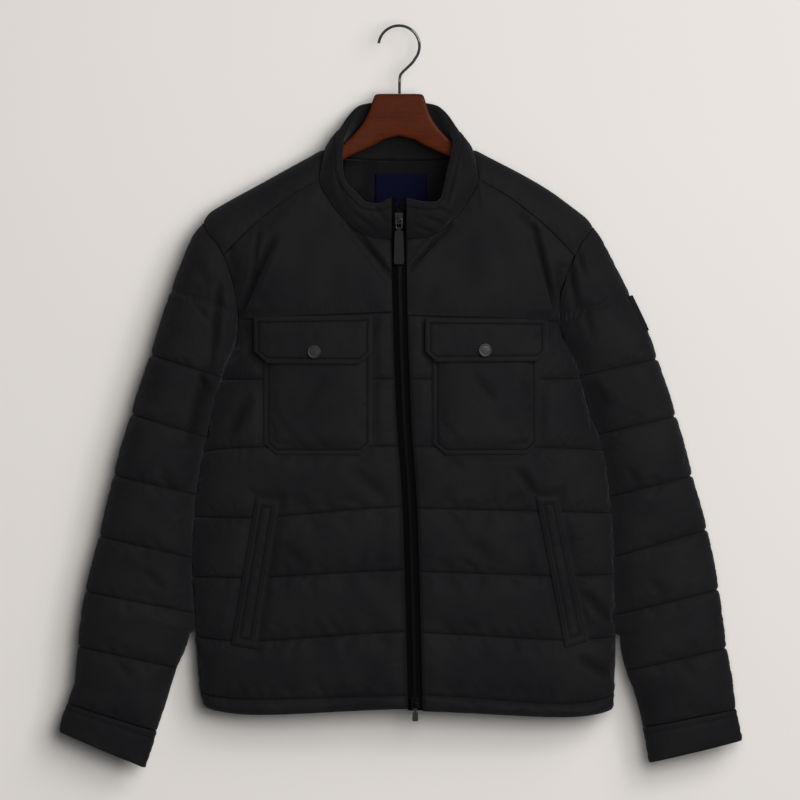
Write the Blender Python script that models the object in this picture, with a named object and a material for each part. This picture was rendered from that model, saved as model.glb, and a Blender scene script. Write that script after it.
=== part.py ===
"""Quilted jacket hanging on a wooden hanger.

World frame: +Z up, the jacket's front faces -Y, the wearer's right half is at -X. The origin is the inside
top of the hanger's hook, where a rail would carry it. All tables and named sizes below are in millimetres;
meshes are in metres.
"""
import math

import bmesh
import bpy
import numpy as np
from mathutils import Matrix, Vector

MM = 0.001

# ---------------------------------------------------------------- cloth
SEAM = 0.2              # each piece stops this far from its seam line, so neighbours stand 0.4 apart
LIE = 0.4               # clearance under a piece that lies on a panel
WALL = 4.0              # wall of shell, flattened padding and lining at a stitched line
QUILT_RISE = 7.0        # how far a channel swells over its stitched lines
PLAIN_RISE = 4.5        # the same on the unquilted panels
FOLD_LIMIT = -1.2       # no fold is pressed further below the stitched lines
NARROW_CHANNEL = 30.0   # a lower channel than this gets 2 steps
SHARP_CLOTH, SHARP_METAL = math.radians(50), math.radians(40)
CHANNEL_STEPS = 4       # outer rows in one quilted channel
ZIP_RUN = 16.0          # the swelling rises to full this far from a zip, shoulder or armhole seam
SIDE_RUN = 40.0         # and this far from a side seam
SECTION_POWER = 2.4     # the body's plan section, a superellipse
NORMAL_STEP = 0.8       # step of the differences that give the surface's normals
ROUND_HEIGHT = 48.0     # height over which the shoulder rounds from its crest to full depth
FRONT, BACK = -1, 1
LEFT, RIGHT = -1, 1

# Outline of the body, seen from the front: armhole seam above ARMPIT_Z, side fold below it.
# z, distance left of the mid plane, distance right of it
SIDE_ROWS = (
    (-870, 243, 271),
    (-843, 252, 273),
    (-771, 258, 275),
    (-691, 263.5, 274),
    (-618, 260.5, 270.5),
    (-538, 249, 259.5),
    (-495, 239, 245),
    (-462, 230.5, 235),
    (-436, 222, 228),
    (-410, 210, 217),
    (-391, 205, 208),
    (-372, 203.3, 203.5),
    (-347, 205.7, 203.5),
    (-317, 212, 212.5),
    (-298, 218.5, 220),
    (-278, 229, 229.5),
    (-259, 244, 243),
    (-248, 248, 248),
)
ARMPIT_Z = -410.0
ARMHOLE_MARGIN = 58.0   # how far the armhole seam lies inside the body's full section at the shoulder
ARMHOLE_RUN = 110.0     # height over which that margin closes to nothing at the armpit

# Depth of the body in front of and behind the mid plane: z, front, back
DEPTH_ROWS = (
    (-870, 50, 38),
    (-740, 57, 42),
    (-620, 64, 44),
    (-500, 70, 46),
    (-400, 69, 46),
    (-320, 61, 43),
    (-260, 51, 39),
    (-200, 42, 35),
    (-140, 36, 32),
)
# Shoulder line over the hanger, and the same line carried on under the neck opening: x, z
CREST_ROWS = (
    (-256, -254),
    (-248, -247.5),
    (-235, -237.5),
    (-216, -225.6),
    (-180, -205.2),
    (-143, -185.4),
    (-103, -164.5),
    (-92, -157),
    (-60, -133),
    (0, -114),
    (60, -133),
    (92, -156.5),
    (103, -162.5),
    (146, -186.5),
    (190, -212),
    (219, -233.2),
    (237, -247),
    (248, -255.3),
    (256, -262),
)
# Centre line of the zip: z, x
ZIP_ROWS = ((-870, 20.8), (-618, 14), (-474, 5), (-272, 0), (-215, 0))
ZIP_HALF = 9.2          # the fronts stop this far from the centre line
ZIP_HEAD = (-64.0, -217.5)      # y and z where the zip ends up the collar

# Neck seam from the zip round to the back centre, left half: x, z, face (-1 front, 0 on the crest, 1 back)
NECK_ROWS = (
    (9.4, -271.5, FRONT),
    (31.8, -268.7, FRONT),
    (53.3, -259, FRONT),
    (71, -243, FRONT),
    (88, -221, FRONT),
    (101, -195, FRONT),
    (99, -177, FRONT),
    (92, -157, 0),
    (80, -156, BACK),
    (56, -159, BACK),
    (28, -162, BACK),
    (0, -163, BACK),
)
SHOULDER_ROW = 5        # the row of NECK_ROWS where the front shoulder seam starts
# Front shoulder seam from the neck to the armhole: x, z
SHOULDER_ROWS = ((101, -195), (131, -212), (170, -241), (204, -272), (222, -291))
YOKE_BACK_Z = -290.0    # the back yoke ends here
YOKE_LOW = (-367.0, -370.0)     # height of the front yokes' lower corners at the zip and at the side
# Stitched lines of the quilting, the chest seam first and the hem last.
# z at: left side, left middle, left zip edge, right zip edge, right middle, right side
QUILT_ROWS = (
    (-372, -367.5, -363, -367, -370.5, -374),
    (-448, -447, -447, -447, -447, -446),
    (-542, -533, -532, -532, -534, -539),
    (-621, -622, -608, -610, -615, -617),
    (-697, -698, -688, -690, -696, -693),
    (-772, -778, -766, -767, -777, -771),
    (-843, -852, -847, -846, -858, -843),
    (-862, -872, -864, -867, -875, -864),
)

# Main folds pressed into the front panels: x and z of both ends, half width, depth
FOLD_ROWS = (
    (-180, -268, -197, -362, 9, 4.0),
    (-158, -290, -196, -366, 7, 2.5),
    (176, -258, 196, -360, 9, 5.0),
    (-62, -262, -14, -322, 8, 3.5),
    (64, -262, 20, -306, 8, 3.5),
    (-190, -470, -214, -520, 10, 3.0),
    (-60, -560, -22, -590, 9, 3.0),
    (150, -561, 168, -590, 8, 3.5),
    (232, -712, 262, -758, 9, 4.0),
    (222, -800, 246, -838, 9, 3.5),
    (-150, -655, -120, -680, 9, 2.5),
    (90, -650, 120, -676, 9, 2.5),
)

# Sleeves: ends of the lines across each sleeve, outer edge and inner edge.
# left outer z, left inner z, right outer z, right inner z, half depth
SLEEVE_LINES = (
    (-252, -410, -257, -410, 40),
    (-416.6, -444.5, -421.6, -443, 43),
    (-491.5, -520.7, -494, -517, 41),
    (-569, -593, -569.6, -595.6, 39),
    (-646, -673, -638, -671.8, 37),
    (-716, -743, -714, -745.5, 35),
    (-785.7, -812.8, -788, -816.6, 32),
    (-858, -893, -865, -888, 28),
    (-894.5, -940, -905.5, -933.5, 25),
)
CUFF_LINE = 7
CAP_ROWS = 9            # rows between the armhole and the second stitched line
# Stitched line across the sleeve cap: x outer, z outer, x inner, z inner, as distances from the mid plane
CAP_LINES = {LEFT: (289.6, -334, 211, -364.5), RIGHT: (290.8, -343, 204.5, -369.6)}
# Outer edge of the sleeves: z, left, right
SLEEVE_OUTER = (
    (-935, 432, 438),
    (-905.5, 431, 435.6),
    (-891.5, 430.5, 433),
    (-858, 421, 425.5),
    (-829, 411, 421.6),
    (-786, 407, 414),
    (-720, 398.5, 405),
    (-655, 382, 393),
    (-583, 365, 374),
    (-506, 343.5, 353),
    (-415, 314, 324),
    (-335, 289.5, 292.5),
    (-298, 276, 274),
    (-276, 267, 260.5),
    (-263, 260, 253),
    (-252, 248.5, 248.5),
)
# Inner edge of the sleeves below the elbow, where they leave the body: z, left, right
SLEEVE_INNER = (
    (-937, 322, 318.8),
    (-888, 310, 310),
    (-843, 296.5, 298.5),
    (-816, 288, 288),
    (-785, 272, 281.5),
    (-768, 265, 280.5),
)
SLEEVE_CLEAR = 2.4      # between a sleeve and the side of the body
SLEEVE_SEAM = 1.2       # between a sleeve's first ring and the armhole, whose facets differ
SLEEVE_AROUND = 16
SLEEVE_POWER = 2.3
SLEEVE_RISE = 6.0
CAP_CHANNEL = 90.0      # the cap swells above its stitched line as a channel of this width would
CAP_EASE = 0.12         # share of the first channel over which the cap swells from the armhole
BESIDE_BODY = 0.1       # share of the quilting's height that is left beside the body
CUFF_RISE = 1.5
SLEEVE_OUTER_EASE = 2.5     # the quilting carries the sleeve this far out to its outer edge
ARMHOLE_LIFT = 3.0      # the armhole's top stands this far over the sleeve's first line
SLEEVE_FORWARD = -5.0   # the sleeves hang a little in front of the mid plane

# Collar: outer face's top edge against the neck seam's rows: distance from the mid plane, y, z
COLLAR_TOP = {
    LEFT: (
        (9.4, -64, -219.5),
        (27, -65, -227),
        (42, -66, -226),
        (57, -65, -213),
        (69, -61, -202),
        (74, -55, -184),
        (76, -46, -163),
        (77, -28, -141),
        (69, -4, -121),
        (51, 18, -98),
        (26, 27, -94.5),
        (0, 30, -94.5),
    ),
    RIGHT: (
        (9.4, -64, -220),
        (28, -66, -224),
        (46, -67, -226),
        (57, -65, -219),
        (60, -61, -202),
        (63, -55, -184),
        (69, -46, -162),
        (74, -29, -141),
        (68, 0, -121),
        (49, 18, -98),
        (24, 27, -94.5),
        (0, 30, -94.5),
    ),
}
COLLAR_SEAM = 1.0       # between the collar's foot and the neck seam, whose facets differ
COLLAR_WALL = 10.0      # wall of the collar at its fullest
COLLAR_SWELL = 5.0      # how far its outer face bows outwards

# Lining that shows inside the neck and the plain label on it: x range, z range
LINING_AREA = ((-72, 72), (-286, -177))
LINING_CLEAR, LINING_WALL = 2.2, 1.2
LABEL_AREA = ((-30.5, 35.6), (-228, -183))
LABEL_WALL = 0.8

# ---------------------------------------------------------------- pieces on the fronts
# Chest pockets and flaps: left edge, right edge, top, bottom, chamfer across, chamfer up
POCKETS = {"left": (-171.5, -33, -372, -543, 17, 15), "right": (41.9, 177.8, -376, -543, 17, 15)}
FLAPS = {"left": (-184.8, -33, -368, -429, 18, 15), "right": (33, 189, -371, -426, 14, 13)}
SNAPS = {"left": (-106.7, -413.8), "right": (108.3, -411.7)}
POCKET_LIE = 0.9        # clearance under a pocket, whose facets differ from the front's
POCKET_WALL = 2.4
POCKET_RISE = 5.0
FLAP_WALL = 2.8
FLAP_RISE = 1.5
SNAP_DIAMETER = 17.0
SNAP_HEIGHT = 3.2
# Hand pocket welts: x and z of top left, top right, bottom left, bottom right
WELTS = {
    "left": ((-180.8, -595.6), (-150.4, -599.4), (-212.9, -782.8), (-180.3, -788.7)),
    "right": ((172.6, -594.2), (201.5, -594.2), (210.3, -787.3), (240.5, -778.5)),
}
WELT_WALL = 4.0
WELT_RISE = 2.0
PRESS_CLEAR = 25.0      # the quilting lies flat under a pocket and this far round it
PRESS_MARGIN = 10.0     # and rises to full over this distance

# Patch on the right sleeve: half angle round it, lines that it spans, wall, clearance over the quilting
PATCH_ANGLE = 34
PATCH_LINES = (0.46, 0.74)
PATCH_WALL, PATCH_CLEAR = 1.2, 1.2

# ---------------------------------------------------------------- zip
ZIP_LOW = -866.0
TAPE_WALL = 1.4
TAPE_UNDER = 1.6        # the tapes lie this far behind the chain's face
CHAIN_HALF = 3.1
CHAIN_HEIGHT = 2.4
SLIDER_Z = -244.5
SLIDER_WIDTH, SLIDER_LENGTH, SLIDER_HEIGHT = 11.0, 15.0, 2.6
ARCH_WIRE = 2.2
ARCH_HEIGHT = 3.6       # of the arch over the slider's plate
HINGE_HEIGHT = 1.2      # of the pull's upper bar over the plate
PULL_WIRE = 1.6
LOOP_CORNER = 1.8
PULL_LOOP = (7.4, 12.0)
TAB_WIDTH_TOP, TAB_WIDTH, TAB_LENGTH, TAB_THICK = 4.4, 13.0, 45.0, 3.0
HEM_SLIDER_Z = -856.0
HEM_PULL_LOOP = (6.4, 9.0)
HEM_TAB_NECK = 1.7      # half width of the tab's eye
HEM_TAB_WIDTH, HEM_TAB_LENGTH = 7.6, 14.0

# ---------------------------------------------------------------- hanger
HOOK_RADIUS = 26.0
HOOK_WIRE = 3.5
HOOK_CENTRE_Z = -24.25
HOOK_START, HOOK_END = 172.0, -30.0
# From the end of the hook's arc down to the hanger: x, z
HOOK_NECK = ((17.6, -44.5), (10.2, -52.0), (4.8, -57.2), (2.0, -61.0), (0.9, -66.0), (0.6, -74.0))
HANGER_TOP_Z = -85.0
HANGER_ARM = 21.6       # height of an arm
HANGER_UNDER = 9.5      # the arms' top lies this far under the cloth's outer face
# Upper and lower edge of the hanger's middle: x, top, bottom, half thickness
HANGER_ROWS = (
    (0, -85, -138.4, 7),
    (20, -85, -143.5, 7),
    (28.5, -85.6, -148.6, 7),
    (31, -87.5, -150, 7),
    (37, -105, -153, 7.2),
    (43, -118, -155.7, 7.4),
    (51, -129, -159.2, 7.7),
    (60, -139, -163.4, 8.2),
    (69, -147, -168.5, 8.6),
    (78, -158, -177, 9),
    (88, -169.5, -188, 9.3),
)
HANGER_ARM_ROWS = ((106, 10), (120, 10.5), (145, 11), (175, 12), (200, 12), (212, 12), (217, 9.5))
HANGER_END_DROP = 3.0   # the arms' tips are rounded off by this much
HANGER_SIDES = 12
HANGER_POWERS = (0.45, 0.75)    # roundness of its section, square in the middle and rounder along the arms
HANGER_SQUARE = 80.0    # half width of the square middle
HANGER_Y = -2.0

# ---------------------------------------------------------------- colours, linear
COLOURS = {
    "shell": (0.017, 0.017, 0.018),
    "lining": (0.006, 0.006, 0.007),
    "label": (0.008, 0.010, 0.042),
    "tape": (0.012, 0.012, 0.012),
    "zip": (0.020, 0.020, 0.020),
    "rubber": (0.030, 0.030, 0.030),
    "gunmetal": (0.110, 0.108, 0.105),
    "chrome": (0.560, 0.560, 0.560),
    "wood": (0.082, 0.018, 0.009),
    "patch": (0.030, 0.030, 0.031),
}


# ================================================================ numbers to curves
def column(rows, index):
    """One named column of a table, as an array."""
    return np.array([row[index] for row in rows], dtype=float)


def smooth(value, keys, heights):
    """Monotone cubic curve through a table's points, held flat past both ends. keys ascend."""
    keys, heights = np.asarray(keys, float), np.asarray(heights, float)
    step = np.diff(keys)
    slope = np.diff(heights) / step
    product = slope[:-1] * slope[1:]
    inner = np.where(product > 0, 2 * product / (slope[:-1] + slope[1:] + 1e-12), 0.0)
    tangent = np.concatenate(([slope[0]], inner, [slope[-1]]))
    value = np.clip(np.asarray(value, float), keys[0], keys[-1])
    at = np.clip(np.searchsorted(keys, value) - 1, 0, len(keys) - 2)
    t = (value - keys[at]) / step[at]
    return ((1 + 2 * t) * (1 - t) ** 2 * heights[at] + t * (1 - t) ** 2 * step[at] * tangent[at]
            + t * t * (3 - 2 * t) * heights[at + 1] + t * t * (t - 1) * step[at] * tangent[at + 1])


def signed_power(value, power):
    return np.sign(value) * np.abs(value) ** power


def ease(value):
    """Rises smoothly from 0 to 1 as value goes from 0 to 1."""
    value = np.clip(value, 0.0, 1.0)
    return value * value * (3 - 2 * value)


def pillow(fraction):
    """Height of a quilted channel, 0 on its stitched lines and 1 along its middle."""
    fraction = np.clip(fraction, 0.0, 1.0)
    return (4 * fraction * (1 - fraction)) ** 0.6


# ================================================================ the body's surface
def side(z, hand):
    """Distance of the armhole seam or side fold from the mid plane."""
    return smooth(z, column(SIDE_ROWS, 0), column(SIDE_ROWS, 1 if hand == LEFT else 2))


def section(z):
    """Centre and half width of the body's plan section at height z."""
    left, right = side(z, LEFT), side(z, RIGHT)
    margin = ARMHOLE_MARGIN * np.clip((np.asarray(z) - ARMPIT_Z) / ARMHOLE_RUN, 0, 1) ** 1.3
    return (right - left) / 2, (right + left) / 2 + margin


def crest(x):
    return smooth(x, column(CREST_ROWS, 0), column(CREST_ROWS, 1))


def depth(x, z, face):
    """Distance of the body's surface from the mid plane, on its front or its back."""
    centre, half = section(z)
    across = np.clip(np.abs(x - centre) / half, 0, 1)
    full = smooth(z, column(DEPTH_ROWS, 0), column(DEPTH_ROWS, 1 if face == FRONT else 2))
    below = np.clip((crest(x) - z) / ROUND_HEIGHT, 0, 1)
    return full * (1 - across ** SECTION_POWER) ** (1 / SECTION_POWER) * np.sqrt(1 - (1 - below) ** 2)


def angle_of(x, z):
    """The plan section's angle at x, 0 at the centre and +-90 degrees at the sides."""
    centre, half = section(z)
    across = np.clip((x - centre) / half, -1, 1)
    return np.arcsin(signed_power(across, SECTION_POWER / 2))


def x_of(angle, z):
    centre, half = section(z)
    return centre + half * signed_power(np.sin(angle), 2 / SECTION_POWER)


def face_points(x, z, face):
    return np.stack([x, face * depth(x, z, face), z], axis=-1)


def roll_of(x, z, face):
    """Unrolled height over the shoulder: 0 on the crest, positive down the back, negative down the front."""
    below = np.maximum(crest(x) - z, 0) / ROUND_HEIGHT
    roll = np.where(below < 1, np.arccos(1 - np.clip(below, 0, 1)), below - 1 + math.pi / 2)
    return np.sign(face) * roll


def rolled_points(x, roll):
    """Points of the body's surface from their x and unrolled height."""
    size = np.abs(roll)
    below = np.where(size < math.pi / 2, 1 - np.cos(size), 1 + size - math.pi / 2)
    z = crest(x) - ROUND_HEIGHT * below
    return np.where((roll < 0)[..., None], face_points(x, z, FRONT), face_points(x, z, BACK))


def zip_x(z):
    return smooth(z, column(ZIP_ROWS, 0), column(ZIP_ROWS, 1))


def normals(grid, outward, ring=False):
    """Unit normals of a grid of points, on the side of the reference direction outward at its middle."""
    if ring:
        across = np.roll(grid, -1, axis=1) - np.roll(grid, 1, axis=1)
    else:
        across = np.gradient(grid, axis=1)
    normal = np.cross(across, np.gradient(grid, axis=0))
    normal /= np.maximum(np.linalg.norm(normal, axis=-1, keepdims=True), 1e-9)
    middle = normal[grid.shape[0] // 2, grid.shape[1] // 2]
    return normal if middle @ np.array(outward, float) > 0 else -normal


def tube_normals(base):
    """Unit normals of a grid of rings, away from the rings' middles."""
    normal = normals(base, (0, -1, 0), ring=True)
    outward = base - base.mean(axis=1, keepdims=True)
    return normal * np.sign(np.sum(normal * outward, axis=(1, 2)))[:, None, None]


def body_normals(points):
    """Outward unit normals of the body's surface at points on it, from the gradient of its implicit form."""
    face_y = np.where(points[..., 1] < 0, FRONT, BACK)

    def level(x, y, z):
        centre, half = section(z)
        front = smooth(z, column(DEPTH_ROWS, 0), column(DEPTH_ROWS, 1))
        back = smooth(z, column(DEPTH_ROWS, 0), column(DEPTH_ROWS, 2))
        below = np.minimum((crest(x) - z) / ROUND_HEIGHT, 1)
        full = np.where(face_y == FRONT, front, back)
        rounding = signed_power(2 * below - below ** 2, SECTION_POWER / 2)
        across = (np.abs(x - centre) / half) ** SECTION_POWER
        return np.abs(y / full) ** SECTION_POWER - rounding * (1 - across)

    step = NORMAL_STEP
    x, y, z = (points[..., axis] for axis in range(3))
    slope = np.stack([level(x + step, y, z) - level(x - step, y, z),
                      level(x, y + step, z) - level(x, y - step, z),
                      level(x, y, z + step) - level(x, y, z - step)], axis=-1)
    return slope / np.linalg.norm(slope, axis=-1, keepdims=True)


def segment_distance(x, z, x0, z0, x1, z1):
    along = np.array([x1 - x0, z1 - z0], float)
    t = np.clip(((x - x0) * along[0] + (z - z0) * along[1]) / (along @ along), 0, 1)
    return np.hypot(x - x0 - t * along[0], z - z0 - t * along[1])


def folds(x, z):
    """Depth of the pressed-in folds at a point of the fronts."""
    total = np.zeros_like(x)
    for x0, z0, x1, z1, width, fall in FOLD_ROWS:
        total = np.maximum(total, fall * np.exp(-(segment_distance(x, z, x0, z0, x1, z1) / width) ** 2))
    return total


def flap_corners(box):
    """Outline of a pocket or flap with its lower corners cut off, as (x, z) from the top left corner down."""
    left, right, top, bottom, across, up = box
    return [(left, top), (left, bottom + up), (left + across, bottom), (right - across, bottom),
            (right, bottom + up), (right, top)]


def outside_distance(x, z, outline):
    """Distance outside a convex outline whose corners run left, bottom, right; zero inside it."""
    worst = np.full_like(x, -1e9)
    for (x0, z0), (x1, z1) in zip(outline, outline[1:] + outline[:1]):
        length = math.hypot(x1 - x0, z1 - z0)
        worst = np.maximum(worst, ((x - x0) * (z1 - z0) - (z - z0) * (x1 - x0)) / length)
    return np.maximum(worst, 0)


def pressed(x, z):
    """0 where a pocket, flap or welt lies on the front, rising to 1 away from it."""
    free = np.ones_like(x)
    for name in ("left", "right"):
        top_left, top_right, low_left, low_right = WELTS[name]
        for outline in (flap_corners(POCKETS[name]), flap_corners(FLAPS[name]),
                        [top_left, low_left, low_right, top_right]):
            beyond = outside_distance(x, z, outline) - PRESS_CLEAR
            free = np.minimum(free, ease(beyond / PRESS_MARGIN))
    return free


# ================================================================ meshes
def material(name):
    made = bpy.data.materials.get(name)
    if made:
        return made
    made = bpy.data.materials.new(name)
    made.use_nodes = True
    shader = made.node_tree.nodes["Principled BSDF"]
    shader.inputs["Base Color"].default_value = (*COLOURS[name], 1)
    shader.inputs["Metallic"].default_value = 1.0 if name in ("gunmetal", "chrome") else 0.0
    shader.inputs["Roughness"].default_value = {"chrome": 0.12, "gunmetal": 0.35, "wood": 0.35,
                                                "lining": 0.4}.get(name, 0.75)
    return made


def add_object(name, mesh, finish, collection):
    made = bpy.data.objects.new(name, mesh)
    mesh.materials.append(material(finish))
    collection.objects.link(made)
    return made


def mesh_from(name, points, faces):
    """Mesh of a closed body from points in millimetres; its faces are turned outwards."""
    mesh = bpy.data.meshes.new(name)
    mesh.from_pydata([tuple(point) for point in np.asarray(points) * MM], [], faces)
    body = bmesh.new()
    body.from_mesh(mesh)
    bmesh.ops.recalc_face_normals(body, faces=body.faces)
    body.to_mesh(mesh)
    body.free()
    mesh.shade_smooth()
    mesh.set_sharp_from_angle(angle=SHARP_CLOTH)
    return mesh


def wall_mesh(name, outer, inner, kept=None, ring=False):
    """Closed wall between a grid of outer points and a plainer grid of inner points.

    kept lists the outer rows that have an inner row behind them; ring joins the last column to the first.
    """
    rows, columns = outer.shape[:2]
    kept = list(range(rows)) if kept is None else list(kept)
    points = np.concatenate([outer.reshape(-1, 3), inner.reshape(-1, 3)])
    start = rows * columns
    faces = []
    spans = columns if ring else columns - 1

    def out(row, col):
        return row * columns + col % columns

    def behind(row, col):
        return start + row * columns + col % columns

    for col in range(spans):
        for row in range(rows - 1):
            faces.append((out(row, col), out(row, col + 1), out(row + 1, col + 1), out(row + 1, col)))
        for row in range(len(kept) - 1):
            faces.append((behind(row, col), behind(row + 1, col),
                          behind(row + 1, col + 1), behind(row, col + 1)))
        last = len(kept) - 1
        faces.append((out(0, col), behind(0, col), behind(0, col + 1), out(0, col + 1)))
        faces.append((out(rows - 1, col), out(rows - 1, col + 1), behind(last, col + 1), behind(last, col)))
    if not ring:
        for col in (0, columns - 1):
            for at, (low, high) in enumerate(zip(kept, kept[1:])):
                middle = (low + high) // 2
                for row in range(low, middle):
                    faces.append((out(row, col), out(row + 1, col), behind(at, col)))
                faces.append((behind(at, col), out(middle, col), behind(at + 1, col)))
                for row in range(middle, high):
                    faces.append((out(row, col), out(row + 1, col), behind(at + 1, col)))
    return mesh_from(name, points, faces)


def loft_mesh(name, sections):
    """Closed body through a grid of closed sections, with its two ends capped."""
    rows, columns = sections.shape[:2]
    faces = [tuple(range(columns)), tuple(range((rows - 1) * columns, rows * columns))]
    for row in range(rows - 1):
        for col in range(columns):
            after = (col + 1) % columns
            faces.append((row * columns + col, row * columns + after,
                          (row + 1) * columns + after, (row + 1) * columns + col))
    return mesh_from(name, sections.reshape(-1, 3), faces)


def wire_mesh(name, route, diameter, closed=False, resolution=2):
    """Round wire along a route in millimetres, as a mesh with its caps joined on."""
    curve = bpy.data.curves.new(name, "CURVE")
    curve.dimensions = "3D"
    curve.bevel_depth = diameter / 2 * MM
    curve.bevel_resolution = resolution
    curve.use_fill_caps = not closed
    spline = curve.splines.new("POLY")
    spline.points.add(len(route) - 1)
    for point, place in zip(spline.points, route):
        point.co = (*(np.asarray(place) * MM), 1)
    spline.use_cyclic_u = closed
    guide = bpy.data.objects.new(name + "_route", curve)
    bpy.context.scene.collection.objects.link(guide)
    evaluated = guide.evaluated_get(bpy.context.evaluated_depsgraph_get())
    mesh = bpy.data.meshes.new_from_object(evaluated)
    bpy.data.objects.remove(guide)
    bpy.data.curves.remove(curve)
    body = bmesh.new()
    body.from_mesh(mesh)
    bmesh.ops.remove_doubles(body, verts=body.verts, dist=1e-6)
    bmesh.ops.recalc_face_normals(body, faces=body.faces)
    body.to_mesh(mesh)
    body.free()
    mesh.name = name
    mesh.materials.clear()
    mesh.shade_smooth()
    return mesh


def wall_object(name, base, normal, rise, finish, collection, kept=None, ring=False, wall=WALL, lift=0.0):
    """Wall whose inner face is plain and whose outer face is raised by rise."""
    outer = base + normal * (rise[..., None] + lift)
    plain = base - normal * (wall - lift)
    inner = plain if kept is None else plain[list(kept)]
    return add_object(name, wall_mesh(name, outer, inner, kept, ring), finish, collection)


# ================================================================ body panels
def chest_seam(x, hand):
    """Height of the chest seam, straight from the zip to the armhole."""
    values = QUILT_ROWS[0]
    at_side, at_zip = (values[0], values[2]) if hand == LEFT else (values[5], values[3])
    share = (np.abs(x) - ZIP_HALF) / (side(at_side, hand) - ZIP_HALF)
    return at_zip + (at_side - at_zip) * share


def quilt_line(row, across, hand):
    """Height of one stitched line; across runs from the zip edge (0) to the side (1)."""
    values = QUILT_ROWS[row]
    three = values[2::-1] if hand == LEFT else values[3:]
    return np.interp(across, (0, 0.5, 1), three)


def channel_rows(lines, fine):
    """Heights of all rows from a list of stitched lines, each row's place in its channel, and the inner rows.

    The first channels, fine of them, keep an inner row behind every outer one, as the armhole cuts into them.
    """
    rows, places, kept = [], [], [0]
    for channel, (upper, lower) in enumerate(zip(lines, lines[1:])):
        steps = CHANNEL_STEPS if np.mean(upper - lower) > NARROW_CHANNEL else 2
        if channel < fine:
            kept += range(len(rows) + 1, len(rows) + steps)
        for step in range(steps):
            rows.append(upper + (lower - upper) * step / steps)
            places.append(step / steps)
        kept.append(len(rows))
    rows.append(lines[-1])
    places.append(0.0)
    return np.array(rows), np.array(places), kept


def side_blend(grid, first_run, last_run):
    """Falls to 0 at a grid's side edges over the given distances, so that the quilting ends in its seams."""
    first = np.linalg.norm(grid - grid[:, :1], axis=-1) / first_run
    last = np.linalg.norm(grid - grid[:, -1:], axis=-1) / last_run
    return ease(np.minimum(first, last)) ** 0.6


def quilted_front(name, hand, collection):
    """Front from the chest seam to the hem, from the zip edge to the armhole and side fold."""
    across = np.sin(np.linspace(0, math.pi / 2, 13)) * 0.35 + np.linspace(0, 1, 13) * 0.65
    lines = [quilt_line(row, across, hand) for row in range(len(QUILT_ROWS))]
    edge = zip_x(lines[0]) + hand * ZIP_HALF
    start, end = angle_of(edge, lines[0]), angle_of(hand * side(lines[0], hand), lines[0])
    lines[0] = chest_seam(x_of(start + (end - start) * across, lines[0]), hand) - SEAM
    z, places, kept = channel_rows(lines, 1)
    edge = zip_x(z) + hand * ZIP_HALF
    edge_x = np.where(z > ARMPIT_Z + 1, hand * side(z, hand), x_of(hand * math.pi / 2, z))
    start, end = angle_of(edge, z), angle_of(edge_x, z)
    end = np.where(z > ARMPIT_Z + 1, end, hand * math.pi / 2)
    base = face_points(x_of(start + (end - start) * across, z), z, FRONT)
    base[:, -1, 1] = np.minimum(base[:, -1, 1], -SEAM)
    normal = body_normals(base)
    x, height = base[..., 0], base[..., 2]
    rise = QUILT_RISE * pillow(places)[:, None] * side_blend(base, ZIP_RUN, SIDE_RUN) * pressed(x, height)
    rise = np.maximum(rise - folds(x, height) * pressed(x, height), FOLD_LIMIT)
    wall_object(name, base, normal, rise, "shell", collection, kept)


def quilted_back(name, collection):
    """Back from the yoke to the hem, from side fold to side fold."""
    across = np.linspace(-1, 1, 21)
    across = 0.8 * across + 0.2 * np.sin(across * math.pi / 2)
    share = (across + 1) / 2
    lines = [np.full_like(share, YOKE_BACK_Z - SEAM)]
    lines += [values[0] + (values[5] - values[0]) * share for values in QUILT_ROWS]
    z, places, kept = channel_rows(lines, 2)
    left = np.where(z > ARMPIT_Z + 1, angle_of(-side(z, LEFT), z), -math.pi / 2)
    right = np.where(z > ARMPIT_Z + 1, angle_of(side(z, RIGHT), z), math.pi / 2)
    base = face_points(x_of(left + (right - left) * share, z), z, BACK)
    for edge in (0, -1):
        base[:, edge, 1] = np.maximum(base[:, edge, 1], SEAM)
    normal = body_normals(base)
    rise = QUILT_RISE * pillow(places)[:, None] * side_blend(base, SIDE_RUN, SIDE_RUN)
    wall_object(name, base, normal, rise, "shell", collection, kept)


def neck_line(hand):
    """Neck seam of one half as (x, roll) pairs, from the zip round to the back centre."""
    x = hand * column(NECK_ROWS, 0)
    z = column(NECK_ROWS, 1)
    face = column(NECK_ROWS, 2)
    return np.stack([x, roll_of(x, z, face)], axis=-1)


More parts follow.
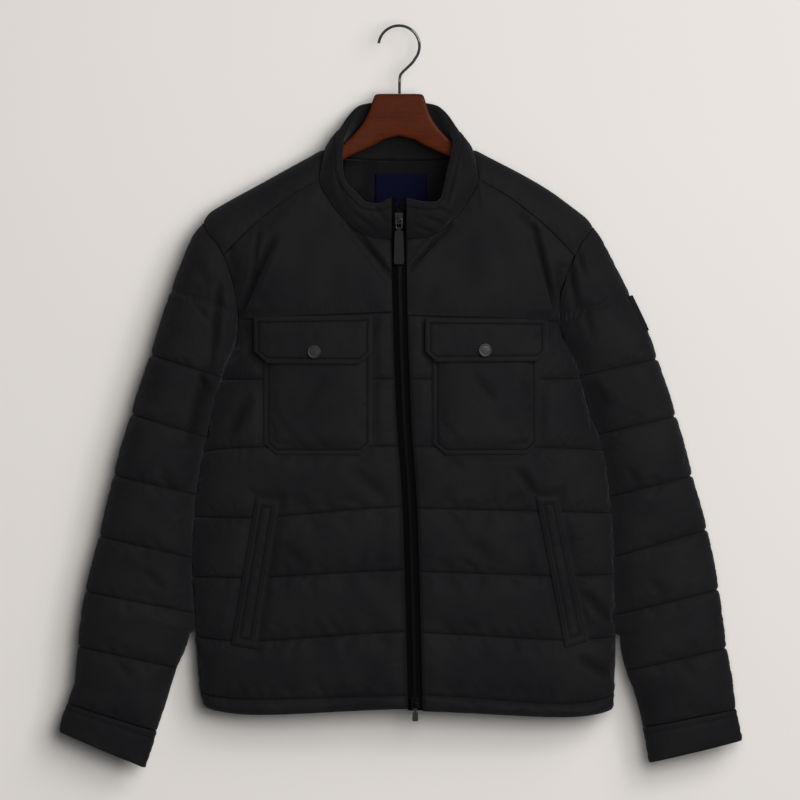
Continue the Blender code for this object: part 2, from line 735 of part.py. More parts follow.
def plain_front(name, hand, collection):
    """Upper front between the chest seam, the zip, the neck and shoulder seams and the armhole."""
    neck = np.array(NECK_ROWS[:SHOULDER_ROW + 1], float)[:, :2]
    shoulder = np.array(SHOULDER_ROWS[1:], float)
    top = np.concatenate([neck, shoulder])
    top[:, 1] -= SEAM
    top_x = hand * top[:, 0]
    steps = np.concatenate([[0], np.cumsum(np.linalg.norm(np.diff(top, axis=0), axis=1))])
    across = 0.5 * steps / steps[-1] + 0.5 * np.linspace(0, 1, len(steps))
    zip_edge = zip_x(YOKE_LOW[0]) + hand * ZIP_HALF
    low_x = zip_edge * (1 - across) + hand * side(YOKE_LOW[1], hand) * across
    low = chest_seam(low_x, hand) + SEAM
    climb = np.linspace(0, 1, 8)[:, None]
    z = low + (top[:, 1] - low) * climb
    edge = zip_x(z) + hand * ZIP_HALF
    top_share = (top_x - (zip_x(top[:, 1]) + hand * ZIP_HALF)) / (
        hand * side(top[:, 1], hand) - (zip_x(top[:, 1]) + hand * ZIP_HALF))
    share = across + (top_share - across) * climb
    base = face_points(edge + (hand * side(z, hand) - edge) * share, z, FRONT)
    normal = body_normals(base)
    x, height = base[..., 0], base[..., 2]
    ends = ease(np.minimum(climb, 1 - climb) * 6) ** 0.6
    rise = PLAIN_RISE * ends * side_blend(base, ZIP_RUN, ZIP_RUN) * pressed(x, height)
    rise = np.maximum(rise - folds(x, height) * ends, FOLD_LIMIT)
    wall_object(name, base, normal, rise, "shell", collection)


def back_yoke(name, collection):
    """Plain yoke over the back and the shoulders, down to the front shoulder seams."""
    halves = []
    for hand in (LEFT, RIGHT):
        shoulder_x = hand * column(SHOULDER_ROWS, 0)[:0:-1]
        shoulder_z = column(SHOULDER_ROWS, 1)[:0:-1]
        shoulder = np.stack([shoulder_x, roll_of(shoulder_x, shoulder_z, FRONT)], axis=-1)
        halves.append(np.concatenate([shoulder, neck_line(hand)[SHOULDER_ROW:]]))
    top = np.concatenate([halves[0], halves[1][-2::-1]])
    top[:, 1] += 2.5 * SEAM / ROUND_HEIGHT
    count = len(top)
    climb = np.linspace(0, 1, 13)[:, None]
    low_x = np.linspace(-side(YOKE_BACK_Z, LEFT), side(YOKE_BACK_Z, RIGHT), count)
    low_roll = roll_of(low_x, np.full(count, YOKE_BACK_Z + SEAM), BACK)
    roll = low_roll + (top[:, 1] - low_roll) * climb
    straight = low_x + (top[:, 0] - low_x) * climb
    x = straight.copy()
    for col, hand in ((0, LEFT), (-1, RIGHT)):
        for _ in range(8):
            x[:, col] = hand * side(rolled_points(x[:, col], roll[:, col])[:, 2], hand)
    position = np.linspace(0, 1, count)
    x[:, 1:-1] = (straight + (x[:, :1] - straight[:, :1]) * (1 - position) ** 3
                  + (x[:, -1:] - straight[:, -1:]) * position ** 3)[:, 1:-1]
    base = rolled_points(x, roll)
    normal = body_normals(base)
    ends = ease(np.minimum(climb, 1 - climb) * 6) ** 0.6
    rise = PLAIN_RISE * ends * side_blend(base, ZIP_RUN, ZIP_RUN)
    wall_object(name, base, normal, rise, "shell", collection)


# ================================================================ sleeves
def sleeve_edges(hand, outer_z, inner_z):
    """Outer and inner edge of a sleeve at two heights, as distances from the mid plane."""
    pick = 1 if hand == LEFT else 2
    outer = smooth(outer_z, column(SLEEVE_OUTER, 0), column(SLEEVE_OUTER, pick)) - SLEEVE_OUTER_EASE
    free = smooth(inner_z, column(SLEEVE_INNER, 0), column(SLEEVE_INNER, pick))
    inner = np.where(inner_z < SLEEVE_INNER[-1][0], free, side(inner_z, hand) + SLEEVE_CLEAR)
    return outer, inner


def sleeve_ring(hand, line, angles):
    """One ring of a sleeve; line counts along SLEEVE_LINES, angles start at the outer edge."""
    keys = np.arange(len(SLEEVE_LINES))
    first = 0 if hand == LEFT else 2
    outer_z = np.interp(line, keys, column(SLEEVE_LINES, first))
    inner_z = np.interp(line, keys, column(SLEEVE_LINES, first + 1))
    half = smooth(line, keys, column(SLEEVE_LINES, 4))
    outer_x, inner_x = sleeve_edges(hand, outer_z, inner_z)
    swing = signed_power(np.cos(angles), 2 / SLEEVE_POWER)
    x = hand * ((outer_x + inner_x) / 2 + (outer_x - inner_x) / 2 * swing)
    z = (outer_z + inner_z) / 2 + (outer_z - inner_z) / 2 * swing
    y = SLEEVE_FORWARD - half * signed_power(np.sin(angles), 2 / SLEEVE_POWER)
    return np.stack([x, y, z], axis=-1)


def armhole_ring(hand, angles):
    """Armhole seam of the body, with the same angles as a sleeve's rings."""
    top = SLEEVE_LINES[0][0 if hand == LEFT else 2] + ARMHOLE_LIFT
    swing = signed_power(np.cos(angles), 2 / SLEEVE_POWER)
    z = (top + ARMPIT_Z) / 2 + (top - ARMPIT_Z) / 2 * swing
    x = hand * side(z, hand)
    front = -depth(x, z, FRONT)
    back = depth(x, z, BACK)
    y = np.where(np.sin(angles) > 1e-6, front, np.where(np.sin(angles) < -1e-6, back, 0.0))
    return np.stack([x, y, z], axis=-1)


def sleeve_surface(hand, lines, angles):
    """Grid of a sleeve's plain surface, which starts on the armhole and settles into its own rings."""
    rings = np.array([sleeve_ring(hand, line, angles) for line in lines])
    apart = armhole_ring(hand, angles)
    apart[:, 0] += hand * SLEEVE_SEAM * (1 + 2 * ease(-0.6 - 1.6 * np.cos(angles)))
    away = apart - sleeve_ring(hand, 0.0, angles)
    fade = (1 - ease(np.asarray(lines) / 0.9))[:, None, None]
    return rings + away * fade


def sleeve_rise(hand, base, lines):
    """Height of the quilting on a sleeve."""
    x0, z0, x1, z1 = CAP_LINES[hand]
    across = np.abs(base[..., 0])
    cap_line = z0 + (across - x0) * (z1 - z0) / (x1 - x0)
    above = base[..., 2] - cap_line
    next_line = sleeve_ring(hand, 1.0, np.array([0.0, math.pi]))[:, 2].mean()
    share = np.clip(-above / np.maximum(cap_line - next_line, 1), 0, 1)
    cap = pillow(np.where(above > 0, np.clip(above / CAP_CHANNEL, 0, 0.5), share))
    lines = np.asarray(lines)[:, None]
    return SLEEVE_RISE * np.where(lines < 1, cap * ease(lines / CAP_EASE), pillow(lines - np.floor(lines)))


def make_sleeve(name, hand, collection):
    angles = np.linspace(0, 2 * math.pi, SLEEVE_AROUND, endpoint=False)
    cap = [(step / CAP_ROWS) ** 1.15 for step in range(CAP_ROWS)]
    tube = [1 + step / CHANNEL_STEPS for step in range((CUFF_LINE - 1) * CHANNEL_STEPS)]
    lines = cap + tube + [CUFF_LINE - 0.005]
    base = sleeve_surface(hand, lines, angles)
    normal = tube_normals(base)
    hold = ease((1 + np.cos(angles)) / 0.5)[:, None]
    normal[0] = body_normals(armhole_ring(hand, angles)) * hold + normal[0] * (1 - hold)
    normal[1] = (normal[0] + normal[1] + normal[2]) / 3
    normal[:2] /= np.linalg.norm(normal[:2], axis=2, keepdims=True)
    rise = sleeve_rise(hand, base, lines)
    rise[-1] = 0
    rise *= BESIDE_BODY + (1 - BESIDE_BODY) * ease((1 + np.cos(angles)) / 0.5)
    kept = list(range(CAP_ROWS)) + list(range(CAP_ROWS, len(lines), CHANNEL_STEPS))
    wall_object(name, base, normal, rise, "shell", collection, kept, ring=True)


def make_cuff(name, hand, collection):
    angles = np.linspace(0, 2 * math.pi, SLEEVE_AROUND, endpoint=False)
    lines = np.linspace(CUFF_LINE + 0.01, CUFF_LINE + 1, 4)
    base = sleeve_surface(hand, lines, angles)
    normal = tube_normals(base)
    rise = np.array([0.0, CUFF_RISE, CUFF_RISE, 0.0])[:, None] * np.ones(SLEEVE_AROUND)
    wall_object(name, base, normal, rise, "shell", collection, ring=True)


# ================================================================ collar and neck
def collar_path():
    """Neck seam and the collar's top, from zip to zip all the way round, with a point between two rows."""
    seam, top = [], []
    keys = np.arange(len(NECK_ROWS))
    places = np.linspace(0, keys[-1], 2 * len(keys) - 1)
    for hand in (LEFT, RIGHT):
        line = neck_line(hand)
        corners = rolled_points(line[:, 0], line[:, 1])
        points = np.stack([np.interp(places, keys, corners[:, axis]) for axis in range(3)], axis=-1)
        rim = COLLAR_TOP[hand]
        head = np.stack([smooth(places, keys, column(rim, axis)) for axis in range(3)], axis=-1)
        head *= np.array([hand, 1, 1])
        if hand == RIGHT:
            points, head = points[-2::-1], head[-2::-1]
        seam.append(points)
        top.append(head)
    return np.concatenate(seam), np.concatenate(top)


def make_collar(name, collection):
    """Padded stand collar, open at the zip: rounded sections from the neck seam up and back down."""
    seam, top = collar_path()
    along = np.gradient((seam + top) / 2, axis=0)
    rise = top - seam
    outward = np.cross(along, rise)
    outward /= np.linalg.norm(outward, axis=1, keepdims=True)
    if outward[0] @ np.array([0, -1.0, 0]) < 0:
        outward = -outward
    up = rise / np.linalg.norm(rise, axis=1, keepdims=True)
    foot = seam + up * COLLAR_SEAM
    length = np.linalg.norm(top - foot, axis=1)[:, None]
    # up the outer face, over the rolled top and down the inner face: share of the height, outward offset
    half = COLLAR_WALL / 2
    profile = (
        (0.0, 0.0),
        (0.25, COLLAR_SWELL * 0.85),
        (0.55, COLLAR_SWELL),
        (0.82, COLLAR_SWELL * 0.6),
        (0.96, 0.0),
        (1.0, -half),
        (0.95, -COLLAR_WALL * 0.9),
        (0.75, -COLLAR_WALL),
        (0.35, -COLLAR_WALL * 0.85),
        (0.0, -WALL),
    )
    sections = np.stack([foot + up * length * share + outward * offset for share, offset in profile], axis=1)
    sections[:, -1] = foot - body_normals(seam) * WALL
    add_object(name, loft_mesh(name, sections), "shell", collection)


def neck_patch(name, x_edges, z_edges, under, thick, finish, collection):
    """Thin piece lying inside the back of the neck, under the wall's inner face."""
    x = np.linspace(*x_edges, 13)
    z = np.linspace(*z_edges, 7)
    grid_x, grid_z = np.meshgrid(x, z)
    base = face_points(grid_x, grid_z, BACK)
    normal = body_normals(base)
    outer = base - normal * under
    inner = outer - normal * thick
    add_object(name, wall_mesh(name, outer, inner), finish, collection)


# ================================================================ pieces on the fronts
def pocket_grid(box, columns, rows):
    """Grid of (x, z) over an outline with two lower corners cut off, its corners on grid points."""
    left, right, top, bottom, across, up = box
    inner = np.linspace(left + across, right - across, columns - 2)
    x = np.concatenate([[left], inner, [right]])
    low = np.full(columns, float(bottom))
    low[0] = low[-1] = bottom + up
    share = np.linspace(0, 1, rows)[:, None]
    return np.broadcast_to(x, (rows, columns)).copy(), low + (top - low) * share


def seat_x(x, z, lift):
    """Where on the front the point lies whose normal, lift long, ends at x."""
    return x - body_normals(face_points(x, z, FRONT))[..., 0] * lift


def laid_piece(name, x, z, lift, wall, rise, finish, collection):
    """Piece that lies on a front: the front's points moved out by lift, with a wall and a swell."""
    base = face_points(seat_x(x, z, lift + wall), z, FRONT)
    normal = body_normals(base)
    swell = np.ones(x.shape)
    rows, columns = x.shape
    swell *= ease(np.minimum(np.arange(columns), columns - 1 - np.arange(columns)) / 2)[None, :]
    swell *= ease(np.minimum(np.arange(rows), rows - 1 - np.arange(rows)) / 2)[:, None]
    wall_object(name, base, normal, wall + rise * swell, finish, collection, wall=0.0, lift=lift)


def make_pockets(collection):
    over_pocket = POCKET_LIE + POCKET_WALL + POCKET_RISE + LIE
    for name, hand in (("left", LEFT), ("right", RIGHT)):
        x, z = pocket_grid(POCKETS[name], 10, 9)
        laid_piece("chest_pocket_" + name, x, z, POCKET_LIE, POCKET_WALL, POCKET_RISE, "shell", collection)
        x, z = pocket_grid(FLAPS[name], 11, 5)
        laid_piece("pocket_flap_" + name, x, z, over_pocket, FLAP_WALL, FLAP_RISE, "shell", collection)
        (ax, az), (bx, bz), (cx, cz), (dx, dz) = WELTS[name]
        share = np.linspace(0, 1, 9)[:, None]
        across = np.linspace(0, 1, 4)[None, :]
        x = (cx + (dx - cx) * across) * (1 - share) + (ax + (bx - ax) * across) * share
        z = (cz + (dz - cz) * across) * (1 - share) + (az + (bz - az) * across) * share
        laid_piece("hand_welt_" + name, x, z, POCKET_LIE, WELT_WALL, WELT_RISE, "shell", collection)
        snap_x, snap_z = SNAPS[name]
        make_snap("snap_" + name, snap_x, snap_z, over_pocket + FLAP_WALL + FLAP_RISE + LIE, collection)


def make_snap(name, x, z, lift, collection):
    """Round cap of a press stud: a low turned dome with a rolled rim."""
    radius = SNAP_DIAMETER / 2
    body = bmesh.new()
    rings = ((0.0, 0.94), (0.45, 1.0), (0.75, 0.97), (0.95, 0.86), (0.86, 0.72), (1.0, 0.35))
    sides = 24
    loops = []
    for height, share in rings:
        loops.append([body.verts.new((radius * share * math.cos(2 * math.pi * k / sides) * MM,
                                      radius * share * math.sin(2 * math.pi * k / sides) * MM,
                                      height * SNAP_HEIGHT * MM)) for k in range(sides)])
    for low, high in zip(loops, loops[1:]):
        for k in range(sides):
            body.faces.new((low[k], low[(k + 1) % sides], high[(k + 1) % sides], high[k]))
    body.faces.new(loops[0][::-1])
    body.faces.new(loops[-1])
    mesh = bpy.data.meshes.new(name)
    body.to_mesh(mesh)
    body.free()
    z = np.array([z])
    seat = face_points(seat_x(np.array([x]), z, lift), z, FRONT)
    normal = Vector(body_normals(seat)[0])
    mesh.transform(normal.to_track_quat("Z", "Y").to_matrix().to_4x4())
    mesh.transform(Matrix.Translation((Vector(seat[0]) + normal * lift) * MM))
    mesh.shade_smooth()
    mesh.set_sharp_from_angle(angle=SHARP_METAL)
    return add_object(name, mesh, "gunmetal", collection)


# ================================================================ zip
def zip_line(z):
    """Centre of the front edge, up the body and then up the collar."""
    neck_z = NECK_ROWS[0][1]
    top_y, top_z = ZIP_HEAD
    z = np.asarray(z, float)
    x = zip_x(z)
    on_body = -depth(x, np.minimum(z, neck_z), FRONT)
    share = np.clip((z - neck_z) / (top_z - neck_z), 0, 1)
    foot_y = -depth(0.0, neck_z, FRONT)
    return np.stack([x, np.where(z > neck_z, foot_y + (top_y - foot_y) * share, on_body), z], axis=-1)


def zip_strip(name, x_low, x_high, z_top, under, thick, finish, collection):
    """Strip up the front edge from the hem, between two offsets from the centre line."""
    z = np.linspace(ZIP_LOW, z_top, 20)
    line = zip_line(z)
    along = np.gradient(line, axis=0)
    outward = np.cross(along, np.array([1.0, 0, 0]))
    outward /= np.linalg.norm(outward, axis=1, keepdims=True)
    outward *= -np.sign(outward[:, 1:2])
    across = np.array([1.0, 0, 0])
    corners = ((x_low, -under - thick), (x_high, -under - thick), (x_high, -under), (x_low, -under))
    sections = np.stack([line + across * x + outward * out for x, out in corners], axis=1)
    return add_object(name, loft_mesh(name, sections), finish, collection)


def union(target, others):
    """Joins solids into one with an exact Boolean and removes the joined ones."""
    for other in others:
        joiner = target.modifiers.new("join", "BOOLEAN")
        joiner.operation = "UNION"
        joiner.solver = "EXACT"
        joiner.object = other
        evaluated = target.evaluated_get(bpy.context.evaluated_depsgraph_get())
        mesh = bpy.data.meshes.new_from_object(evaluated)
        target.modifiers.clear()
        target.data = mesh
        bpy.data.objects.remove(other)


def box_mesh(name, size, bevel):
    """Box in millimetres about its centre, with its edges broken."""
    body = bmesh.new()
    bmesh.ops.create_cube(body, size=1.0)
    bmesh.ops.scale(body, vec=Vector(size) * MM, verts=body.verts)
    bmesh.ops.bevel(body, geom=body.edges[:], offset=bevel * MM, segments=1, affect="EDGES")
    mesh = bpy.data.meshes.new(name)
    body.to_mesh(mesh)
    body.free()
    return mesh


def place_on_zip(z):
    """Frame on the zip at height z: X across, Y into the jacket, Z up the zip, origin on the chain's face."""
    low, here, high = zip_line([z - 6, z, z + 6])
    up = Vector(high - low).normalized()
    across = Vector((1, 0, 0))
    inward = up.cross(across).normalized()
    across = inward.cross(up)
    frame = Matrix((across, inward, up)).transposed().to_4x4()
    frame.translation = Vector(here) * MM
    return frame


def make_slider(name, frame, collection):
    """Slider body on the chain, with the arch that carries its pull."""
    face = -(LIE + SLIDER_HEIGHT / 2)
    plate = box_mesh(name, (SLIDER_WIDTH, SLIDER_HEIGHT, SLIDER_LENGTH), 0.7)
    plate.transform(Matrix.Translation(Vector((0, face, 0)) * MM))
    slider = add_object(name, plate, "gunmetal", collection)
    top = -(LIE + SLIDER_HEIGHT + ARCH_HEIGHT)
    arch = [(0, face, 5), (0, top + 1.6, 5), (0, top, 3.4),
            (0, top, -2), (0, top + 1.6, -3.6), (0, face, -3.6)]
    bridge = add_object(name + "_arch", wire_mesh(name + "_arch", arch, ARCH_WIRE), "gunmetal", collection)
    union(slider, [bridge])
    slider.data.transform(frame)
    slider.data.name = name
    return slider


def rounded_loop(width, height, corner, steps=3):
    """Closed route round a rectangle with round corners, in X and Z, hanging from its top bar at Z 0."""
    route = []
    centres = ((width / 2 - corner, -corner, 0), (-width / 2 + corner, -corner, 90),
               (-width / 2 + corner, -height + corner, 180), (width / 2 - corner, -height + corner, 270))
    for x, z, start in centres:
        for step in range(steps + 1):
            angle = math.radians(start + 90 * step / steps)
            route.append((x + corner * math.cos(angle), 0, z + corner * math.sin(angle)))
    return route


def pull_outline(name, corners, thick):
    """Flat tab from its front outline in X and Z, extruded along Y."""
    curve = bpy.data.curves.new(name, "CURVE")
    curve.dimensions = "2D"
    curve.fill_mode = "BOTH"
    curve.extrude = thick / 2 * MM
    spline = curve.splines.new("POLY")
    spline.points.add(len(corners) - 1)
    for point, (x, z) in zip(spline.points, corners):
        point.co = (x * MM, z * MM, 0, 1)
    spline.use_cyclic_u = True
    guide = bpy.data.objects.new(name + "_outline", curve)
    bpy.context.scene.collection.objects.link(guide)
    evaluated = guide.evaluated_get(bpy.context.evaluated_depsgraph_get())
    mesh = bpy.data.meshes.new_from_object(evaluated)
    bpy.data.objects.remove(guide)
    bpy.data.curves.remove(curve)
    mesh.transform(Matrix.Rotation(math.radians(90), 4, "X"))
    body = bmesh.new()
    body.from_mesh(mesh)
    bmesh.ops.remove_doubles(body, verts=body.verts, dist=1e-6)
    bmesh.ops.dissolve_limit(body, angle_limit=0.001, verts=body.verts, edges=body.edges)
    bmesh.ops.recalc_face_normals(body, faces=body.faces)
    body.to_mesh(mesh)
    body.free()
    mesh.name = name
    mesh.materials.clear()
    return mesh


def mirrored(edge):
    """Closed outline from the corners of its right half, from the top down."""
    return edge + [(-x, z) for x, z in edge[::-1]]


def make_pull(name, loop, corners, frame, finish, collection, cutters):
    """Wire loop through the slider's arch, and the tab whose eye hangs on its lower bar."""
    hinge_y = -(LIE + SLIDER_HEIGHT + HINGE_HEIGHT)
    width, height = loop
    link = wire_mesh(name + "_link", rounded_loop(width, height, LOOP_CORNER), PULL_WIRE, closed=True)
    tab = pull_outline(name + "_tab", corners, TAB_THICK)
    link_object = add_object(name + "_link", link, "gunmetal", collection)
    tab_object = add_object(name + "_tab", tab, finish, collection)
    body = bmesh.new()
    bmesh.ops.create_cone(body, cap_ends=True, segments=16, radius1=(PULL_WIRE / 2 + 0.3) * MM,
                          radius2=(PULL_WIRE / 2 + 0.3) * MM, depth=40 * MM)
    bmesh.ops.rotate(body, matrix=Matrix.Rotation(math.radians(90), 3, "Y"), verts=body.verts)
    bmesh.ops.translate(body, vec=(0, 0, -height * MM), verts=body.verts)
    mesh = bpy.data.meshes.new(name + "_eye")
    body.to_mesh(mesh)
    body.free()
    cutter = bpy.data.objects.new(name + "_eye", mesh)
    cutter.hide_render = True
    cutter.display_type = "WIRE"
    cutters.objects.link(cutter)
    eye = tab_object.modifiers.new("eye", "BOOLEAN")
    eye.operation = "DIFFERENCE"
    eye.solver = "EXACT"
    eye.object = cutter
    place = Matrix.Translation(frame @ (Vector((0, hinge_y, 0)) * MM))
    for made in (link_object, tab_object, cutter):
        made.matrix_world = place


def make_zip(collection, cutters):
    top_z = ZIP_HEAD[1] - 2
    inner, outer = CHAIN_HALF + 0.35, ZIP_HALF - 0.4
    zip_strip("zip_tape_left", -outer, -inner, top_z, TAPE_UNDER, TAPE_WALL, "tape", collection)
    zip_strip("zip_tape_right", inner, outer, top_z, TAPE_UNDER, TAPE_WALL, "tape", collection)
    zip_strip("zip_chain", -CHAIN_HALF, CHAIN_HALF, top_z - 6, 0.0, CHAIN_HEIGHT, "zip", collection)
    top_frame = place_on_zip(SLIDER_Z)
    make_slider("zip_slider", top_frame, collection)
    neck, half = TAB_WIDTH_TOP / 2, TAB_WIDTH / 2
    bar = -PULL_LOOP[1]
    low = bar - TAB_LENGTH
    edge = [(neck, bar + 1.9), (neck, bar - 2.6), (half - 1.6, bar - 3.4), (half - 1.0, bar - 8),
            (half, low + 3), (half - 1.2, low)]
    tab = mirrored(edge)
    make_pull("zip_pull", PULL_LOOP, tab, top_frame, "rubber", collection, cutters)
    hem_frame = place_on_zip(HEM_SLIDER_Z)
    make_slider("hem_slider", hem_frame, collection)
    neck, half = HEM_TAB_NECK, HEM_TAB_WIDTH / 2
    bar = -HEM_PULL_LOOP[1]
    low = bar - HEM_TAB_LENGTH
    edge = [(neck, bar + 1.9), (neck, bar - 2.6), (half - 0.5, bar - 3.2), (half, low + 1), (half - 1, low)]
    tab = mirrored(edge)
    make_pull("hem_pull", HEM_PULL_LOOP, tab, hem_frame, "gunmetal", collection, cutters)


# ================================================================ hanger
def make_hanger(collection):
    sections = []
    for hand in (LEFT, RIGHT):
        half_rows = [(hand * x, top, low, half) for x, top, low, half in HANGER_ROWS]
        for x, half in HANGER_ARM_ROWS:
            top = float(crest(hand * x)) - HANGER_UNDER
            end_drop = HANGER_END_DROP if x == HANGER_ARM_ROWS[-1][0] else 0.0
            half_rows.append((hand * x, top - end_drop, top - HANGER_ARM + end_drop, half))
        sections += half_rows[::-1] if hand == LEFT else half_rows[1:]
    grid = []
    for x, top, low, half in sections:
        power = HANGER_POWERS[0] if abs(x) < HANGER_SQUARE else HANGER_POWERS[1]
        reach = math.cos(math.pi / HANGER_SIDES) ** power
        ring = []
        for k in range(HANGER_SIDES):
            angle = 2 * math.pi * (k + 0.5) / HANGER_SIDES
            across = signed_power(math.cos(angle), power) / reach
            up = signed_power(math.sin(angle), power) / reach
            ring.append((x, HANGER_Y + half * across, (top + low) / 2 + (top - low) / 2 * up))
        grid.append(ring)
    add_object("hanger_body", loft_mesh("hanger_body", np.array(grid)), "wood", collection)
    route = []
    for step in range(25):
        angle = math.radians(HOOK_START + (HOOK_END - HOOK_START) * step / 24)
        route.append((HOOK_RADIUS * math.cos(angle), 0, HOOK_CENTRE_Z + HOOK_RADIUS * math.sin(angle)))
    route += [(x, 0, z) for x, z in HOOK_NECK] + [(HOOK_NECK[-1][0], 0, HANGER_TOP_Z + 0.3)]
    route = [(x, HANGER_Y * min(1, max(0, (z + 50) / -20)), z) for x, _, z in route]
    add_object("hanger_hook", wire_mesh("hanger_hook", route, HOOK_WIRE, resolution=3), "chrome", collection)


def make_patch(collection):
    """Plain patch sewn on the outer side of the right sleeve."""
    angles = np.radians(np.linspace(-PATCH_ANGLE, PATCH_ANGLE, 5))
    lines = np.linspace(*PATCH_LINES, 4)
    base = sleeve_surface(RIGHT, lines, angles)
    normal = normals(base, (1, 0, 0))
    wall_object("sleeve_patch", base, normal, np.full(base.shape[:2], PATCH_WALL), "patch", collection,
                wall=0.0, lift=SLEEVE_RISE + PATCH_CLEAR)


def main():
    for old in list(bpy.data.objects):
        bpy.data.objects.remove(old)
    parts = bpy.data.collections.new("quilted_jacket")
    cutters = bpy.data.collections.new("cutters")
    for made in (parts, cutters):
        bpy.context.scene.collection.children.link(made)
    make_hanger(parts)
    back_yoke("back_yoke", parts)
    quilted_back("back_panel", parts)
    for name, hand in (("left", LEFT), ("right", RIGHT)):
        plain_front("front_yoke_" + name, hand, parts)
        quilted_front("front_" + name, hand, parts)
        make_sleeve("sleeve_" + name, hand, parts)
        make_cuff("cuff_" + name, hand, parts)
    make_collar("collar", parts)
    neck_patch("neck_lining", *LINING_AREA, WALL + LINING_CLEAR, LINING_WALL, "lining", parts)
    neck_patch("neck_label", *LABEL_AREA, WALL + LINING_CLEAR + LINING_WALL + LIE, LABEL_WALL, "label", parts)
    make_pockets(parts)
    make_patch(parts)
    make_zip(parts, cutters)


main()
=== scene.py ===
"""Looks of a quilted jacket on a wooden hanger: padded cloth, stitching, zip, studs, hanger and a plain studio.

The frame is the part's own: +Z up, the jacket's front faces -Y, the origin is the inside top of the hanger's hook.
Tables and named sizes are in millimetres, as in the part's source, and meshes are in metres.
"""
import functools
import math

import bmesh
import bpy
import numpy as np
from mathutils import Matrix, Vector


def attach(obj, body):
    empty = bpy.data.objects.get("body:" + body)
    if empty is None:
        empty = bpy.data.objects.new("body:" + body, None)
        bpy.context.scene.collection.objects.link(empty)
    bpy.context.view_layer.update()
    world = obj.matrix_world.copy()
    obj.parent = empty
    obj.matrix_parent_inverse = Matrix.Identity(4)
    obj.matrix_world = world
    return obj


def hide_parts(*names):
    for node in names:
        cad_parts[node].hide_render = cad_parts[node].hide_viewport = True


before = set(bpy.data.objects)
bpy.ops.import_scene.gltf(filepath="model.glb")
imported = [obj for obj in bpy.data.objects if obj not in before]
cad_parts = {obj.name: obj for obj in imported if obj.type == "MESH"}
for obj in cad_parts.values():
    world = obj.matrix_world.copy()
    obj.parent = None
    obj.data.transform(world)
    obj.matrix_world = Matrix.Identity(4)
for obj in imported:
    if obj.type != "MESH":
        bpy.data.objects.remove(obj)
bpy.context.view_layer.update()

bl_info = {
    "name": "Quilted jacket on a hanger",
    "version": (1, 0, 0),
    "blender": (4, 5, 0),
    "location": "3D View > Sidebar > Jacket",
    "description": "Dresses the packed jacket with padded cloth, stitching, a zip and a studio",
    "category": "Object",
}

MM = 0.001
FRONT, BACK = -1, 1
LEFT, RIGHT = -1, 1
HANDS = (("left", LEFT), ("right", RIGHT))
COLUMN = {-1: 1, 1: 2}  # a table's column for the left or the front, and for the right or the back
ACROSS, FORWARD = np.array([1.0, 0, 0]), np.array([0, -1.0, 0])

# ---------------------------------------------------------------- sizes of the cut, as in the part's source
SEAM = 0.2              # each piece stops this far from its seam line
LIE = 0.4               # clearance under a piece that lies on a panel
WALL = 4.0              # wall of shell, flattened padding and lining at a stitched line
QUILT_RISE = 6.0        # how far a channel swells over its stitched lines
PLAIN_RISE = 4.0        # the same on the unquilted panels
ZIP_RUN = 16.0          # the swelling rises to full this far from a zip, shoulder or armhole seam
SIDE_RUN = 40.0         # and this far from a side seam
SECTION_POWER = 2.4     # the body's plan section, a superellipse
ROUND_HEIGHT = 48.0     # height over which the shoulder rounds from its crest to full depth

# Outline of the body: z, distance left of the mid plane, distance right of it
SIDE_ROWS = (
    (-870, 243, 271), (-843, 252, 273), (-771, 258, 275), (-691, 263.5, 274), (-618, 260.5, 270.5),
    (-538, 249, 259.5), (-495, 239, 245), (-462, 230.5, 235), (-436, 222, 228), (-410, 210, 217),
    (-391, 205, 208), (-372, 203.3, 203.5), (-347, 205.7, 203.5), (-317, 212, 212.5), (-298, 218.5, 220),
    (-278, 229, 229.5), (-259, 244, 243), (-248, 248, 248),
)
ARMPIT_Z = -410.0
ARMHOLE_MARGIN = 58.0   # how far the armhole seam lies inside the body's full section at the shoulder
ARMHOLE_RUN = 110.0     # height over which that margin closes to nothing at the armpit

# Depth of the body in front of and behind the mid plane: z, front, back
DEPTH_ROWS = (
    (-870, 50, 38), (-740, 57, 42), (-620, 64, 44), (-500, 70, 46), (-400, 69, 46), (-320, 61, 43),
    (-260, 51, 39), (-200, 42, 35), (-140, 36, 32),
)
# Shoulder line over the hanger, carried on under the neck opening: x, z
CREST_ROWS = (
    (-256, -254), (-248, -247.5), (-235, -237.5), (-216, -225.6), (-180, -205.2), (-143, -185.4),
    (-103, -164.5), (-92, -157), (-60, -133), (0, -114), (60, -133), (92, -156.5), (103, -162.5),
    (146, -186.5), (190, -212), (219, -233.2), (237, -247), (248, -255.3), (256, -262),
)
# Centre line of the zip: z, x
ZIP_ROWS = ((-870, 20.8), (-618, 14), (-474, 5), (-272, 0), (-215, 0))
ZIP_HALF = 9.2          # the fronts stop this far from the centre line
ZIP_HEAD = (-64.0, -217.5)      # y and z where the zip ends up the collar

# Neck seam from the zip round to the back centre, left half: x, z, face (-1 front, 0 on the crest, 1 back)
NECK_ROWS = (
    (9.4, -271.5, FRONT), (31.8, -268.7, FRONT), (53.3, -259, FRONT), (71, -243, FRONT), (88, -221, FRONT),
    (101, -195, FRONT), (99, -177, FRONT), (92, -157, 0), (80, -156, BACK), (56, -159, BACK),
    (28, -162, BACK), (0, -163, BACK),
)
SHOULDER_ROW = 5        # the row of NECK_ROWS where the front shoulder seam starts
# Front shoulder seam from the neck to the armhole: x, z
SHOULDER_ROWS = ((101, -195), (131, -212), (170, -241), (204, -272), (222, -291))
YOKE_BACK_Z = -290.0    # the back yoke ends here
SLOPE_STEP = 0.8        # step of the surface's slopes
